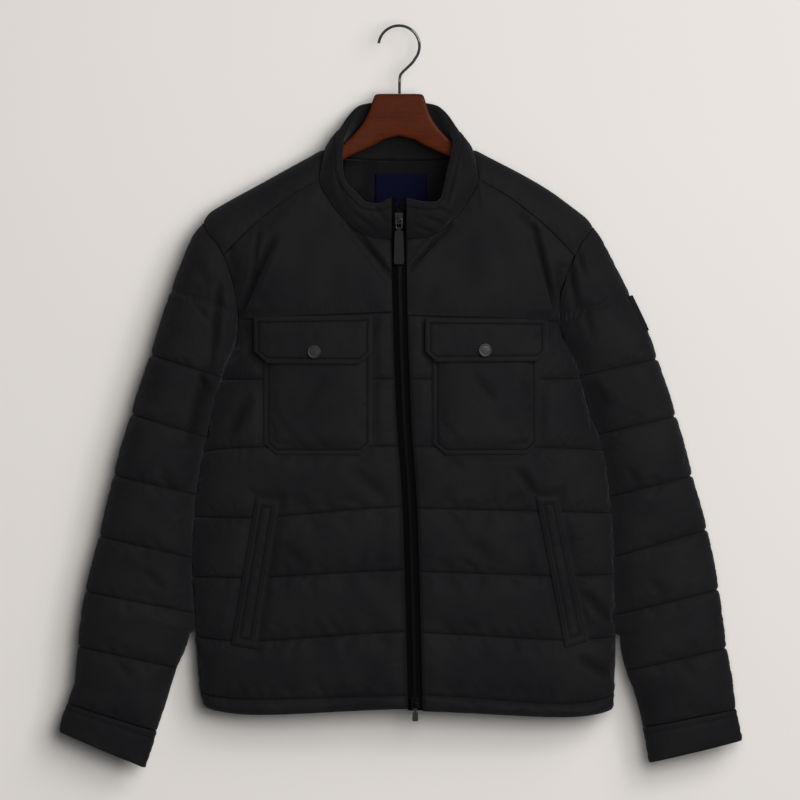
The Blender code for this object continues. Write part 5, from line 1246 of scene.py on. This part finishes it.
# ================================================================ collar and neck
def make_collar(name):
    """Padded stand collar, open at the zip: its outer face, its rolled top and its inner face in one ring."""
    seam, top = [], []
    for hand in (LEFT, RIGHT):
        places = np.linspace(0, len(NECK_ROWS) - 1, count_of(300))
        points = rolled_points(*neck_points(hand, places).T)
        head = rows_at(COLLAR_TOP[hand], places) * np.array([hand, 1, 1])
        # both halves share the point at the back centre
        seam.append(points if hand == LEFT else points[-2::-1])
        top.append(head if hand == LEFT else head[-2::-1])
    seam, top = np.concatenate(seam), np.concatenate(top)
    up = unit(top - seam)
    outward = unit(np.cross(np.gradient((seam + top) / 2, axis=0), top - seam))
    outward = -outward if outward[0] @ FORWARD < 0 else outward
    foot = seam + up * COLLAR_SEAM * 0.6
    length = np.linalg.norm(top - foot, axis=1)[:, None]
    fine = rows_at(COLLAR_PROFILE, np.linspace(0, len(COLLAR_PROFILE) - 1, COLLAR_ROWS))
    sections = np.stack([foot + up * length * share + outward * offset for share, offset in fine], axis=0)
    sections[-1] = foot - body_normals(seam) * WALL
    normal = facing(sections, sections - (sections[0] + sections[-1] + sections[COLLAR_ROWS // 2]) / 3)
    shape = sections.shape[:2]
    stitched = rim_of(shape) == 0
    stitched[COLLAR_STITCHED] = True
    rise = np.where(stitched, 0.0, uneven(shape, 71, 0.06))
    settled = settle(name, sections + normal * rise[..., None], normal, stitched, 1.0, sizes().collar_growth,
                     sizes().padding_pressure * 0.5)
    grid, normal = refine(capped(settled, sections, normal, -SINK, 2.0)), refine(normal)
    pressed = folds(grid[..., 0], grid[..., 2], COLLAR_FOLDS) * (grid[..., 1] < -30)
    pressed[COLLAR_CREASED:] = 0
    pressed[0] = 0
    grid -= normal * pressed[..., None]
    rim = slice(RIM_LINE - 1, RIM_LINE + 2)
    grid[rim] -= normal[rim] * (np.array([0.5, 1.0, 0.5]) * THREAD_PULL)[:, None, None]
    # a lap of the lining runs down inside the neck seam
    inward = -body_normals(seam)
    down = unit(np.cross(np.gradient(seam, axis=0), inward))
    down *= -np.sign(np.sum(down * up, axis=1, keepdims=True))
    lap = [foot + inward * (WALL + behind) + down * low
           for behind, low in ((1.6, 0), (1.6, NECK_LAP), (0.6, NECK_LAP), (0.6, 0))]
    grid = np.concatenate([grid, refine(np.stack(lap))[::2]])
    rows, columns = grid.shape[:2]
    # the grid closes from the lap to the foot, and each end between its two faces
    faces = grid_faces(rows, columns)
    faces += [((rows - 1) * columns + c, (rows - 1) * columns + c + 1, c + 1, c) for c in range(columns - 1)]
    for col in (0, columns - 1):
        low, high = 0, rows - 1
        while high - low > 2:
            faces.append(tuple(row * columns + col for row in (low, low + 1, high - 1, high)))
            low, high = low + 1, high - 1
        if high - low == 2:
            faces.append(tuple(row * columns + col for row in (low, low + 1, high)))
    # painted shade: the collar's shell is painted darker all over, darker still in its creases, at its foot and along
    # its rolled edge's topstitching, and a little lighter along the creases' raised lips
    painted_shade = np.full((rows, columns), COLLAR_DARKENING)
    painted_shade[:len(pressed)] += np.clip(pressed / FOLD_FOR_FULL_SHADE, -0.2, 1)
    painted_shade[[0, RIM_LINE]] = LINE_PAINTED_SHADE
    mesh = mesh_from(name, grid.reshape(-1, 3), faces, (finishes()["shell"],))
    store_painted_shade(mesh, painted_shade)
    add_piece(name, mesh, ["collar"])


def neck_piece(name, replaced, area, under, thick, ripple, seed, finish, top_of=None):
    """Thin rippled piece inside the back of the neck, under the wall's inner face; top_of gives its upper edge."""
    (x0, x1), (z0, z1) = area
    x, z = np.meshgrid(*(np.linspace(low, high, round((high - low) / 2.4) + 1) for low, high in area))
    if top_of:
        z = z0 + (z - z0) * (top_of(x) - z0) / (z1 - z0)
    base = face_points(x, z, BACK)
    normal = body_normals(base)
    total = np.zeros(x.shape)
    for k, phase in enumerate(np.random.default_rng(seed).uniform(0, 2 * math.pi, 6)):
        total += np.sin(x * (0.05 + 0.045 * k) + z * (0.03 - 0.02 * k) + phase) / (1 + 0.5 * k)
    outer = base - normal * (under + thick + ripple * (total - total.min())[..., None] / 4)
    return thin_piece(name, replaced, outer, base - normal * under, finish)


def lining_top(x):
    """Height of the lining's upper edge, which follows the neck seam."""
    return np.interp(np.abs(x), (0, 28, 56, 80), (-163, -162, -159, -156)) - 3


# ================================================================ pieces on the fronts
def laid_grid(box):
    """Grid of (x, z) over an outline with two lower corners cut off, its fourth lines at the topstitching."""
    left, right, top, bottom, across, up = box
    inset = sizes().topstitch_inset / MM
    rim = np.array([0.0, inset * 0.25, inset * 0.6, inset])

    def rimmed(low, high):
        middle = np.linspace(low + inset, high - inset, count_of((high - low - 2 * inset) * 1.25))[1:-1]
        return np.concatenate([low + rim, middle, high - rim[::-1]])

    x = rimmed(left, right)
    low = bottom + up * np.clip(1 - np.minimum(x - left, right - x) / across, 0, 1)
    z = low + (top - low) * (rimmed(0.0, top - bottom) / (top - bottom))[:, None]
    return np.broadcast_to(x, z.shape).copy(), z


def seat_x(x, z, lift):
    """Where on the front the point lies whose normal, lift long, ends at x."""
    return x - body_normals(face_points(x, z, FRONT))[..., 0] * lift


def laid_piece(kind, which, x, z, lift, wall, swell, growth, push, seed, creases):
    """Padded piece lying on a front: rolled edges, a topstitched line inside them and a swell in the middle."""
    base = face_points(seat_x(x, z, lift + wall), z, FRONT)
    normal = body_normals(base)
    rim, fine_rim = rim_of(x.shape), rim_of([2 * count - 1 for count in x.shape])
    height = wall * np.select([rim == at for at in range(len(RIM_PROFILE))], RIM_PROFILE, 1.0)
    height = height + swell * ease((rim - TOPSTITCH) / 5)
    stitched = rim <= TOPSTITCH
    height = np.where(stitched, height, height + uneven(height.shape, seed, 0.1))
    under = base + normal * np.broadcast_to(lift, x.shape)[..., None]
    # painted shade along the topstitching, full on its line and 0.3 of that beside it
    beside = abs(fine_rim - 2 * TOPSTITCH)
    padded_piece(f"sewn_{kind}_{which}", [f"{kind}_{which}"], under, normal, height, stitched, 1.0, growth, push,
                 0.7, wall + swell + 1.0, 0.3, wall=0.0, inside="shell",
                 lines=LINE_PAINTED_SHADE * np.select([beside == 0, beside == 1], (1.0, 0.3), 0.0),
                 creases=(under + normal * (wall + FOLD_FLOOR), normal, lambda x, z: folds(x, z, creases)))


def stitch_runs(name, *places):
    """Runs of stitches at the given places of a settled piece on the front."""
    normal = facing(SETTLED[name], FORWARD)
    return [(SETTLED[name][place], normal[place]) for place in places]


def free_runs(path, normal, free):
    """Splits a run of stitches where something covers it."""
    edges = np.flatnonzero(np.diff(np.concatenate([[False], free, [False]])))
    return [(path[start:end], normal[start:end]) for start, end in edges.reshape(-1, 2) if end - start > 3]


def sew(name, runs):
    """Adds the thread along runs of points and normals of settled surfaces, as short stitches in one mesh."""
    points, faces = [], []
    for path, normal in runs:
        reach = lengths(path)
        count = int(reach[-1] // STITCH_PITCH)
        for start in (np.arange(count) + 0.5) * reach[-1] / max(count, 1):
            centres = [np.array([np.interp(start + STITCH_LENGTH * share, reach, path[:, axis]) for axis in range(3)])
                       for share, _, _ in STITCH_PROFILE]
            up = unit(np.array([np.interp(start, reach, normal[:, axis]) for axis in range(3)]))
            wide = np.cross(up, unit(centres[-1] - centres[0]))
            faces += tube_faces(len(points), len(centres), 4)
            for centre, (_, lift, size) in zip(centres, STITCH_PROFILE):
                for across, high in ((1, 0), (0, 1), (-1, 0), (0, -1)):
                    points.append(centre + up * lift * THREAD + (wide * across + up * high) * THREAD / 2 * size)
    if not points:
        raise RuntimeError(f"{name} has no stitches")
    add_piece(name, mesh_from(name, points, faces, (finishes()["thread"],)))


def build_snap(which, lift):
    """Round cap of a press stud: a turned rim round a shallow dish."""
    name = "press_stud_" + which
    outline = bpy.data.meshes.new(name)
    outline.from_pydata([(SNAP_DIAMETER / 2 * share * MM, 0, height * SNAP_HEIGHT * MM)
                         for height, share in SNAP_PROFILE],
                        [(at, at + 1) for at in range(len(SNAP_PROFILE) - 1)], [])
    turned = bpy.data.objects.new(name + "_turned", outline)
    screw = turned.modifiers.new("turn", "SCREW")
    screw.steps = screw.render_steps = 48
    screw.use_merge_vertices = True
    screw.merge_threshold = 10 * MERGE
    mesh = finish_mesh(mesh_of(turned), (finishes()["stud"],), sharp=40, merged=True)
    x, z = (np.array([place]) for place in SNAPS[which])
    seat = face_points(seat_x(x, z, lift), z, FRONT)
    normal = Vector(body_normals(seat)[0])
    mesh.transform(normal.to_track_quat("Z", "Y").to_matrix().to_4x4())
    mesh.transform(Matrix.Translation((Vector(seat[0]) + normal * lift) * MM))
    add_piece(name, mesh, ["snap_" + which])


# ================================================================ hanger
def build_wood(name):
    """Shaped wooden body of the hanger, lofted through rounded sections along its arms."""
    middle = rows_at(HANGER_ROWS, np.linspace(0, len(HANGER_ROWS) - 1, 61))
    arm_x = np.linspace(HANGER_ARM_ROWS[0][0], HANGER_ARM_ROWS[-1][0], 30)
    arm_x[-len(HANGER_TIP):] = HANGER_TIP
    sides = 28
    sections = []
    for hand in (LEFT, RIGHT):
        rows = [(hand * x, top, low, half) for x, top, low, half in middle]
        for x in arm_x:
            top = float(crest(hand * x)) - HANGER_UNDER
            tip = math.sqrt(max(0.0, 1 - max(0.0, (x - 209) / 8.2) ** 2))
            drop = HANGER_ARM / 2 * (1 - tip) * 0.8
            half = float(curve(HANGER_ARM_ROWS[:-1], x)) * (0.3 + 0.7 * tip)
            rows.append((hand * x, top - drop, top - HANGER_ARM + drop, half))
        sections += rows[::-1] if hand == LEFT else rows[1:]
    points = []
    for x, top, low, half in sections:
        power = 0.45 + 0.3 * float(ease((abs(x) - 62) / 30))
        for k in range(sides):
            angle = 2 * math.pi * (k + 0.5) / sides
            points.append((x, HANGER_Y + half * signed_power(math.cos(angle), power),
                           (top + low) / 2 + (top - low) / 2 * signed_power(math.sin(angle), power)))
    mesh = mesh_from(name, points, tube_faces(0, len(sections), sides), (finishes()["wood"],), sharp=60)
    add_piece(name, mesh, ["hanger_body"])


def build_hook(name):
    """Chromed wire hook, bent over the rail and down into the wood."""
    angles = [math.radians(HOOK_START + (HOOK_END - HOOK_START) * step / 72) for step in range(73)]
    route = [(HOOK_RADIUS * math.cos(angle), HOOK_CENTRE_Z + HOOK_RADIUS * math.sin(angle)) for angle in angles]
    bend = (route[-1], *HOOK_BEND, (0.6, HANGER_TOP_Z + 0.3))
    route += [tuple(point) for point in rows_at(bend, np.linspace(0, len(bend) - 1, 60))[1:]]
    wire = bpy.data.curves.new(name, "CURVE")
    wire.dimensions = "3D"
    wire.bevel_depth = HOOK_WIRE / 2 * MM
    wire.bevel_resolution = 6
    wire.use_fill_caps = True
    spline = wire.splines.new("POLY")
    spline.points.add(len(route) - 1)
    for point, (x, z) in zip(spline.points, route):
        # the wire leaves the mid plane for the hanger's
        point.co = (*(np.array([x, HANGER_Y * min(1, max(0, (z + 50) / -20)), z]) * MM), 1)
    mesh = finish_mesh(mesh_of(bpy.data.objects.new(name + "_route", wire)), (finishes()["chrome"],), sharp=50,
                       merged=True)
    bpy.data.curves.remove(wire)
    mesh.name = name
    add_piece(name, mesh, ["hanger_hook"])


# ================================================================ zip
def zip_line(z):
    """Centre of the front edge, up the body and then up the collar."""
    neck_z = NECK_ROWS[0][1]
    top_y, top_z = ZIP_HEAD
    z = np.asarray(z, float)
    x = curve(ZIP_ROWS, z)
    on_body = -depth(x, np.minimum(z, neck_z), FRONT)
    foot_y = -depth(0.0, neck_z, FRONT)
    share = np.clip((z - neck_z) / (top_z - neck_z), 0, 1)
    return np.stack([x, np.where(z > neck_z, foot_y + (top_y - foot_y) * share, on_body), z], axis=-1)


def zip_frame(z):
    """Line of the zip at heights z, with its outward direction."""
    line = zip_line(z)
    outward = unit(np.cross(np.gradient(line, axis=0), ACROSS))
    return line, outward * -np.sign(outward[:, 1:2])


def build_tapes(name, edges):
    """Woven zip tapes from the hem to the top of the collar, both in one piece; edges gives each one's x range."""
    line, outward = zip_frame(np.linspace(ZIP_LOW, ZIP_HEAD[1] - 2, 130))
    points, faces = [], []
    for low_x, high_x in edges:
        across = np.linspace(low_x, high_x, 5)
        under = TAPE_UNDER + np.where(np.abs(across) < CHAIN_HALF + 1.2, -0.35, 0.0)
        front = np.stack([line + ACROSS * x - outward * low for x, low in zip(across, under)], axis=1)
        grid = np.concatenate([front, (front - outward[:, None, :] * TAPE_WALL)[:, ::-1]], axis=1)
        faces += tube_faces(len(points), *grid.shape[:2])
        points += list(grid.reshape(-1, 3))
    mesh = mesh_from(name, points, faces, (finishes()["tape"],), sharp=40)
    piece = add_piece(name, mesh, ["zip_tape_left", "zip_tape_right"])


def build_teeth(name):
    """Two rows of moulded teeth, meshed below the slider and parted in a V above it."""
    z_low, z_high = ZIP_LOW + 6, ZIP_HEAD[1] - 5
    points, faces = [], []
    for hand in (LEFT, RIGHT):
        for k in range(int((z_high - z_low) / TOOTH_PITCH)):
            z = z_low + TOOTH_PITCH * (k + (0.5 if hand == RIGHT else 0.0))
            (_, here, _), (_, outward, _) = zip_frame(np.array([z - 1, z, z + 1]))
            low, high = zip_line([z - 1, z + 1])
            up = unit(high - low)
            part = 3.4 * float(ease((z - SLIDER_Z - 4) / 16))
            faces += tube_faces(len(points), len(TOOTH), 4)
            for reach, tall, deep in TOOTH:
                centre = here + ACROSS * (hand * (reach + part)) - outward * (CHAIN_HEIGHT / 2 + TEETH_UNDER)
                for a, b in ((-1, -1), (-1, 1), (1, 1), (1, -1)):
                    points.append(centre + up * tall * a + outward * deep * b)
    mesh = mesh_from(name, points, faces, (finishes()["teeth"],), sharp=35)
    add_piece(name, mesh, ["zip_chain"])


# ================================================================ settings
class JacketSizes(bpy.types.PropertyGroup):
    """Sizes that a user would change."""
    quilt_growth: bpy.props.FloatProperty(
        name="Quilted cloth's spare length", description="How much longer the quilted cloth is cut than its padding",
        default=0.045, min=0.0, max=0.08, subtype="FACTOR")
    plain_growth: bpy.props.FloatProperty(
        name="Plain cloth's spare length", description="The same for the unquilted panels",
        default=0.01, min=0.0, max=0.08, subtype="FACTOR")
    collar_growth: bpy.props.FloatProperty(
        name="Collar's spare length", description="The same for the collar",
        default=0.004, min=0.0, max=0.08, subtype="FACTOR")
    padding_pressure: bpy.props.FloatProperty(
        name="Padding's pressure", description="How hard the padding pushes the cloth out",
        default=0.45, min=0.0, max=6.0)
    topstitch_inset: bpy.props.FloatProperty(
        name="Topstitching inset", description="Distance of the topstitching from an edge",
        default=7.0 * MM, min=2 * MM, max=15 * MM, unit="LENGTH")
    camera_distance: bpy.props.FloatProperty(
        name="Camera distance", description="Distance of the camera from the jacket",
        default=9.0, min=1.0, max=20.0, unit="LENGTH")


def colour_setting(name, description, code):
    return bpy.props.FloatVectorProperty(name=name, description=description, default=linear(code), subtype="COLOR",
                                         min=0, max=1)


class JacketColours(bpy.types.PropertyGroup):
    """Colours that a user would change."""
    shell_light: colour_setting("Shell, lighter", "Lighter shade of the charcoal shell", "1d1c1d")
    shell_dark: colour_setting("Shell, darker", "Darker shade of the charcoal shell", "161618")
    lining: colour_setting("Lining", "Black satin lining", "0c0c0e")
    label: colour_setting("Label", "Navy neck label", "080b22")
    patch: colour_setting("Patch", "Sleeve patch", "262628")
    tape: colour_setting("Zip tape", "Woven tape of the zip", "070708")
    teeth: colour_setting("Zip teeth", "Moulded teeth of the zip", "0c0c0d")
    rubber: colour_setting("Pull tab", "Rubber tab of the zip", "1d1d1e")
    nickel: colour_setting("Slider", "Nickel plate of the sliders", "9c9a97")
    gunmetal: colour_setting("Hem slider", "Gunmetal plate of the lower slider", "4a4847")
    stud: colour_setting("Press studs", "Brushed nickel plate of the press studs", "9a9894")
    chrome: colour_setting("Hook", "Chrome plate of the hook", "c9c9c9")
    wood_light: colour_setting("Wood, lighter", "Lighter streaks of the stained wood", "57240f")
    wood_dark: colour_setting("Wood, darker", "Darker streaks of the stained wood", "40190a")
    thread: colour_setting("Thread", "Sewing thread", "08080a")
    wall: colour_setting("Wall", "Plain wall and floor", "e9e5e1")


# ================================================================ operators
class JACKET_OT_stage(bpy.types.Operator):
    """Makes the plain wall and floor, the soft studio lights and the camera"""
    bl_idname = "jacket.stage"
    bl_label = "Build the studio"

    def execute(self, context):
        scene = context.scene
        paint = painted_wall("pale_wall_paint", colour_of("wall"))
        for name, corners in STUDIO_PLANES:
            mesh = bpy.data.meshes.new(name)
            mesh.from_pydata(corners, [], [(0, 1, 2, 3)])
            mesh.materials.append(paint)
            plane = bpy.data.objects.new(name, mesh)
            scene.collection.objects.link(plane)
            plane.visible_diffuse = plane.visible_glossy = plane.visible_shadow = False
        scene.world = bpy.data.worlds.new("studio")
        scene.world.use_nodes = True
        background = scene.world.node_tree.nodes["Background"].inputs
        background["Color"].default_value = (0.93, 0.94, 0.96, 1)
        background["Strength"].default_value = 0.07
        for name, place, size, power, mirrored in SOFTBOXES:
            light = bpy.data.lights.new(name, "AREA")
            light.shape, light.size, light.energy = "SQUARE", size, power
            lamp = bpy.data.objects.new(name, light)
            scene.collection.objects.link(lamp)
            lamp.location = place
            lamp.visible_glossy = mirrored
            lamp.rotation_euler = (Vector(place) - Vector(LIT_POINT)).to_track_quat("Z", "Y").to_euler()
        lens = bpy.data.cameras.new("camera")
        camera = bpy.data.objects.new("camera", lens)
        scene.collection.objects.link(camera)
        distance = sizes().camera_distance
        lens.sensor_width = SENSOR
        lens.lens = SENSOR * distance / VIEW_WIDTH
        camera.location = (VIEW_X, -distance, VIEW_Z)
        camera.rotation_euler = (math.pi / 2, 0, 0)
        lens.clip_end = 100
        scene.camera = camera
        scene.view_settings.view_transform = "Standard"
        return {"FINISHED"}


class JACKET_OT_hanger(bpy.types.Operator):
    """Builds the wooden hanger and its chromed hook"""
    bl_idname = "jacket.hanger"
    bl_label = "Build the hanger"

    def execute(self, context):
        build_wood("shaped_wood_hanger")
        build_hook("chromed_wire_hook")
        return {"FINISHED"}


class JACKET_OT_body(bpy.types.Operator):
    """Builds the quilted fronts and back, the plain yokes, and the thread of their quilting"""
    bl_idname = "jacket.body"
    bl_label = "Build the body"

    def execute(self, context):
        runs = []
        for which, hand in HANDS:
            plain_front(which, hand)
            for path, normal in stitch_runs("padded_front_" + which, *quilted_front(which, hand)):
                runs += free_runs(path, normal, laid_distance(path[:, 0], path[:, 2]) > 2)
        sew("quilting_thread_fronts", runs)
        back_yoke("padded_back_yoke")
        rows = quilted_back("padded_back")
        sew("quilting_thread_back", [(path, -normal) for path, normal in stitch_runs("padded_back", *rows)])
        return {"FINISHED"}


class JACKET_OT_sleeves(bpy.types.Operator):
    """Builds the quilted sleeves, their cuffs and the thread of their quilting"""
    bl_idname = "jacket.sleeves"
    bl_label = "Build the sleeves"

    def execute(self, context):
        runs = []
        for which, hand in HANDS:
            rows = make_sleeve(which, hand)
            make_cuff(which, hand)
            for name, stitched in (("padded_sleeve_" + which, rows), ("padded_cuff_" + which, [2 * CUFF_STITCHED])):
                around = (SETTLED[name], outward_normals(SETTLED[name]))
                grid, normal = (np.concatenate([values, values[:, :1]], axis=1) for values in around)
                runs += [(grid[row], normal[row]) for row in stitched]
        sew("quilting_thread_sleeves", runs)
        return {"FINISHED"}


class JACKET_OT_collar(bpy.types.Operator):
    """Builds the padded collar, the lining inside the neck and its plain label"""
    bl_idname = "jacket.collar"
    bl_label = "Build the collar and neck"

    def execute(self, context):
        make_collar("padded_collar")
        lining = neck_piece("satin_neck_lining", ["neck_lining"], LINING_AREA, WALL + LINING_CLEAR, LINING_WALL, 1.6,
                            5, "lining", lining_top)
        label = neck_piece("woven_neck_label", ["neck_label"], LABEL_AREA,
                           WALL + LINING_CLEAR + LINING_WALL + LIE + 0.6, LABEL_WALL, 0.5, 6, "label")
        return {"FINISHED"}


class JACKET_OT_pockets(bpy.types.Operator):
    """Builds the chest pockets with their flaps, the hand pocket welts, the press studs and their topstitching"""
    bl_idname = "jacket.pockets"
    bl_label = "Build the pockets"

    def execute(self, context):
        over_pocket = POCKET_LIE + POCKET_WALL + POCKET_RISE + LIE
        line, inside = 2 * TOPSTITCH, slice(2 * TOPSTITCH, -2 * TOPSTITCH)
        seams = ((line, inside), (inside, line), (inside, -line - 1), (-line - 1, inside))
        runs = []
        for which, hand in HANDS:
            laid_piece("chest_pocket", which, *laid_grid(POCKETS[which]), POCKET_LIE, POCKET_WALL, POCKET_RISE, 0.012,
                       0.2, 81 + hand, POCKET_FOLDS[hand])
            x, z = laid_grid(FLAPS[which])
            stand = FLAP_STAND * (FLAPS[which][2] - z) / (FLAPS[which][2] - FLAPS[which][3])
            laid_piece("pocket_flap", which, x, z, over_pocket + stand, FLAP_WALL, 1.0, 0.006, 0.2, 91 + hand,
                       FLAP_FOLDS[hand])
            corners = np.array(WELTS[which], float)
            share = np.linspace(0, 1, count_of(190 * 1.25))[:, None, None]
            across = np.linspace(0, 1, 11)[None, :, None]
            low = corners[2] + (corners[3] - corners[2]) * across
            high = corners[0] + (corners[1] - corners[0]) * across
            x, z = np.moveaxis(low * (1 - share) + high * share, -1, 0)
            laid_piece("hand_welt", which, x, z, POCKET_LIE, WELT_WALL, 0.8, 0.01, 0.3, 101 + hand, WELT_FOLDS[hand])
            runs += stitch_runs("sewn_chest_pocket_" + which, *seams[:3])
            runs += stitch_runs("sewn_pocket_flap_" + which, *seams)
            runs += stitch_runs("sewn_hand_welt_" + which, (slice(4, -4), 3), (slice(4, -4), -4))
            build_snap(which, over_pocket + FLAP_WALL + 1.5 + 0.7 * FLAP_STAND + LIE)
        sew("topstitching_pockets", runs)
        return {"FINISHED"}


def spread(values, measure, axis):
    """Greatest or mean value within PATCH_REACH rows or columns of each one."""
    last = values.shape[axis] - 1
    return measure([np.take(values, np.clip(np.arange(last + 1) + step, 0, last), axis=axis)
                    for step in range(-PATCH_REACH, PATCH_REACH + 1)], axis=0)


class JACKET_OT_patch(bpy.types.Operator):
    """Builds the plain patch on the right sleeve"""
    bl_idname = "jacket.patch"
    bl_label = "Build the sleeve patch"

    def execute(self, context):
        sleeve = "padded_sleeve_right"
        lines, base, normal = PLAIN[sleeve]
        first, last = (2 * int(np.searchsorted(lines, line)) for line in PATCH_LINES)
        reach = round(base.shape[1] * PATCH_ANGLE / 360)
        rows, columns = slice(first, last + 1), np.arange(-reach, reach + 1)
        base, normal, settled = (grid[rows][:, columns] for grid in (base, normal, SETTLED[sleeve]))
        rise = np.sum((settled - base) * normal, axis=-1)
        # the patch bridges the narrow hollows of the padding under it
        lie = spread(spread(spread(rise, np.max, 0), np.max, 1), np.mean, 0) + LIE
        outer, inner = (base + normal * (lie + thick)[..., None] for thick in (PATCH_WALL, 0.0))
        piece = thin_piece("twill_sleeve_patch", ["sleeve_patch"], outer, inner, "patch")
        return {"FINISHED"}


class JACKET_OT_zip(bpy.types.Operator):
    """Builds the zip's tapes and teeth and finishes its sliders and pulls"""
    bl_idname = "jacket.zip"
    bl_label = "Build the zip"

    def execute(self, context):
        inner, outer = CHAIN_HALF - 0.4, ZIP_HALF + 0.6
        build_tapes("woven_zip_tapes", ((-outer, -inner), (inner, outer)))
        build_teeth("moulded_zip_teeth")
        for node, finish in (("zip_slider", "nickel"), ("zip_pull_link", "nickel"), ("zip_pull_tab", "rubber"),
                             ("hem_slider", "gunmetal"), ("hem_pull_link", "gunmetal"), ("hem_pull_tab", "nickel")):
            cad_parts[node].data.materials.clear()
            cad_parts[node].data.materials.append(finishes()[finish])
        return {"FINISHED"}


OPERATORS = (JACKET_OT_stage, JACKET_OT_hanger, JACKET_OT_body, JACKET_OT_sleeves, JACKET_OT_collar,
             JACKET_OT_pockets, JACKET_OT_patch, JACKET_OT_zip)


class JACKET_PT_panel(bpy.types.Panel):
    """Lists the jacket's operators and settings in the sidebar"""
    bl_label = "Quilted jacket"
    bl_idname = "JACKET_PT_panel"
    bl_space_type = "VIEW_3D"
    bl_region_type = "UI"
    bl_category = "Jacket"

    def draw(self, context):
        for operator in OPERATORS:
            self.layout.operator(operator.bl_idname)
        for group in (context.scene.jacket_sizes, context.scene.jacket_colours):
            for name in group.__annotations__:
                self.layout.prop(group, name)


CLASSES = (JacketSizes, JacketColours, *OPERATORS, JACKET_PT_panel)


def register():
    for made in CLASSES:
        bpy.utils.register_class(made)
    bpy.types.Scene.jacket_sizes = bpy.props.PointerProperty(type=JacketSizes)
    bpy.types.Scene.jacket_colours = bpy.props.PointerProperty(type=JacketColours)


def unregister():
    del bpy.types.Scene.jacket_colours
    del bpy.types.Scene.jacket_sizes
    for made in reversed(CLASSES):
        bpy.utils.unregister_class(made)


def main():
    register()
    for operator in OPERATORS:
        group, name = operator.bl_idname.split(".")
        getattr(getattr(bpy.ops, group), name)()


if __name__ == "__main__":
    main()
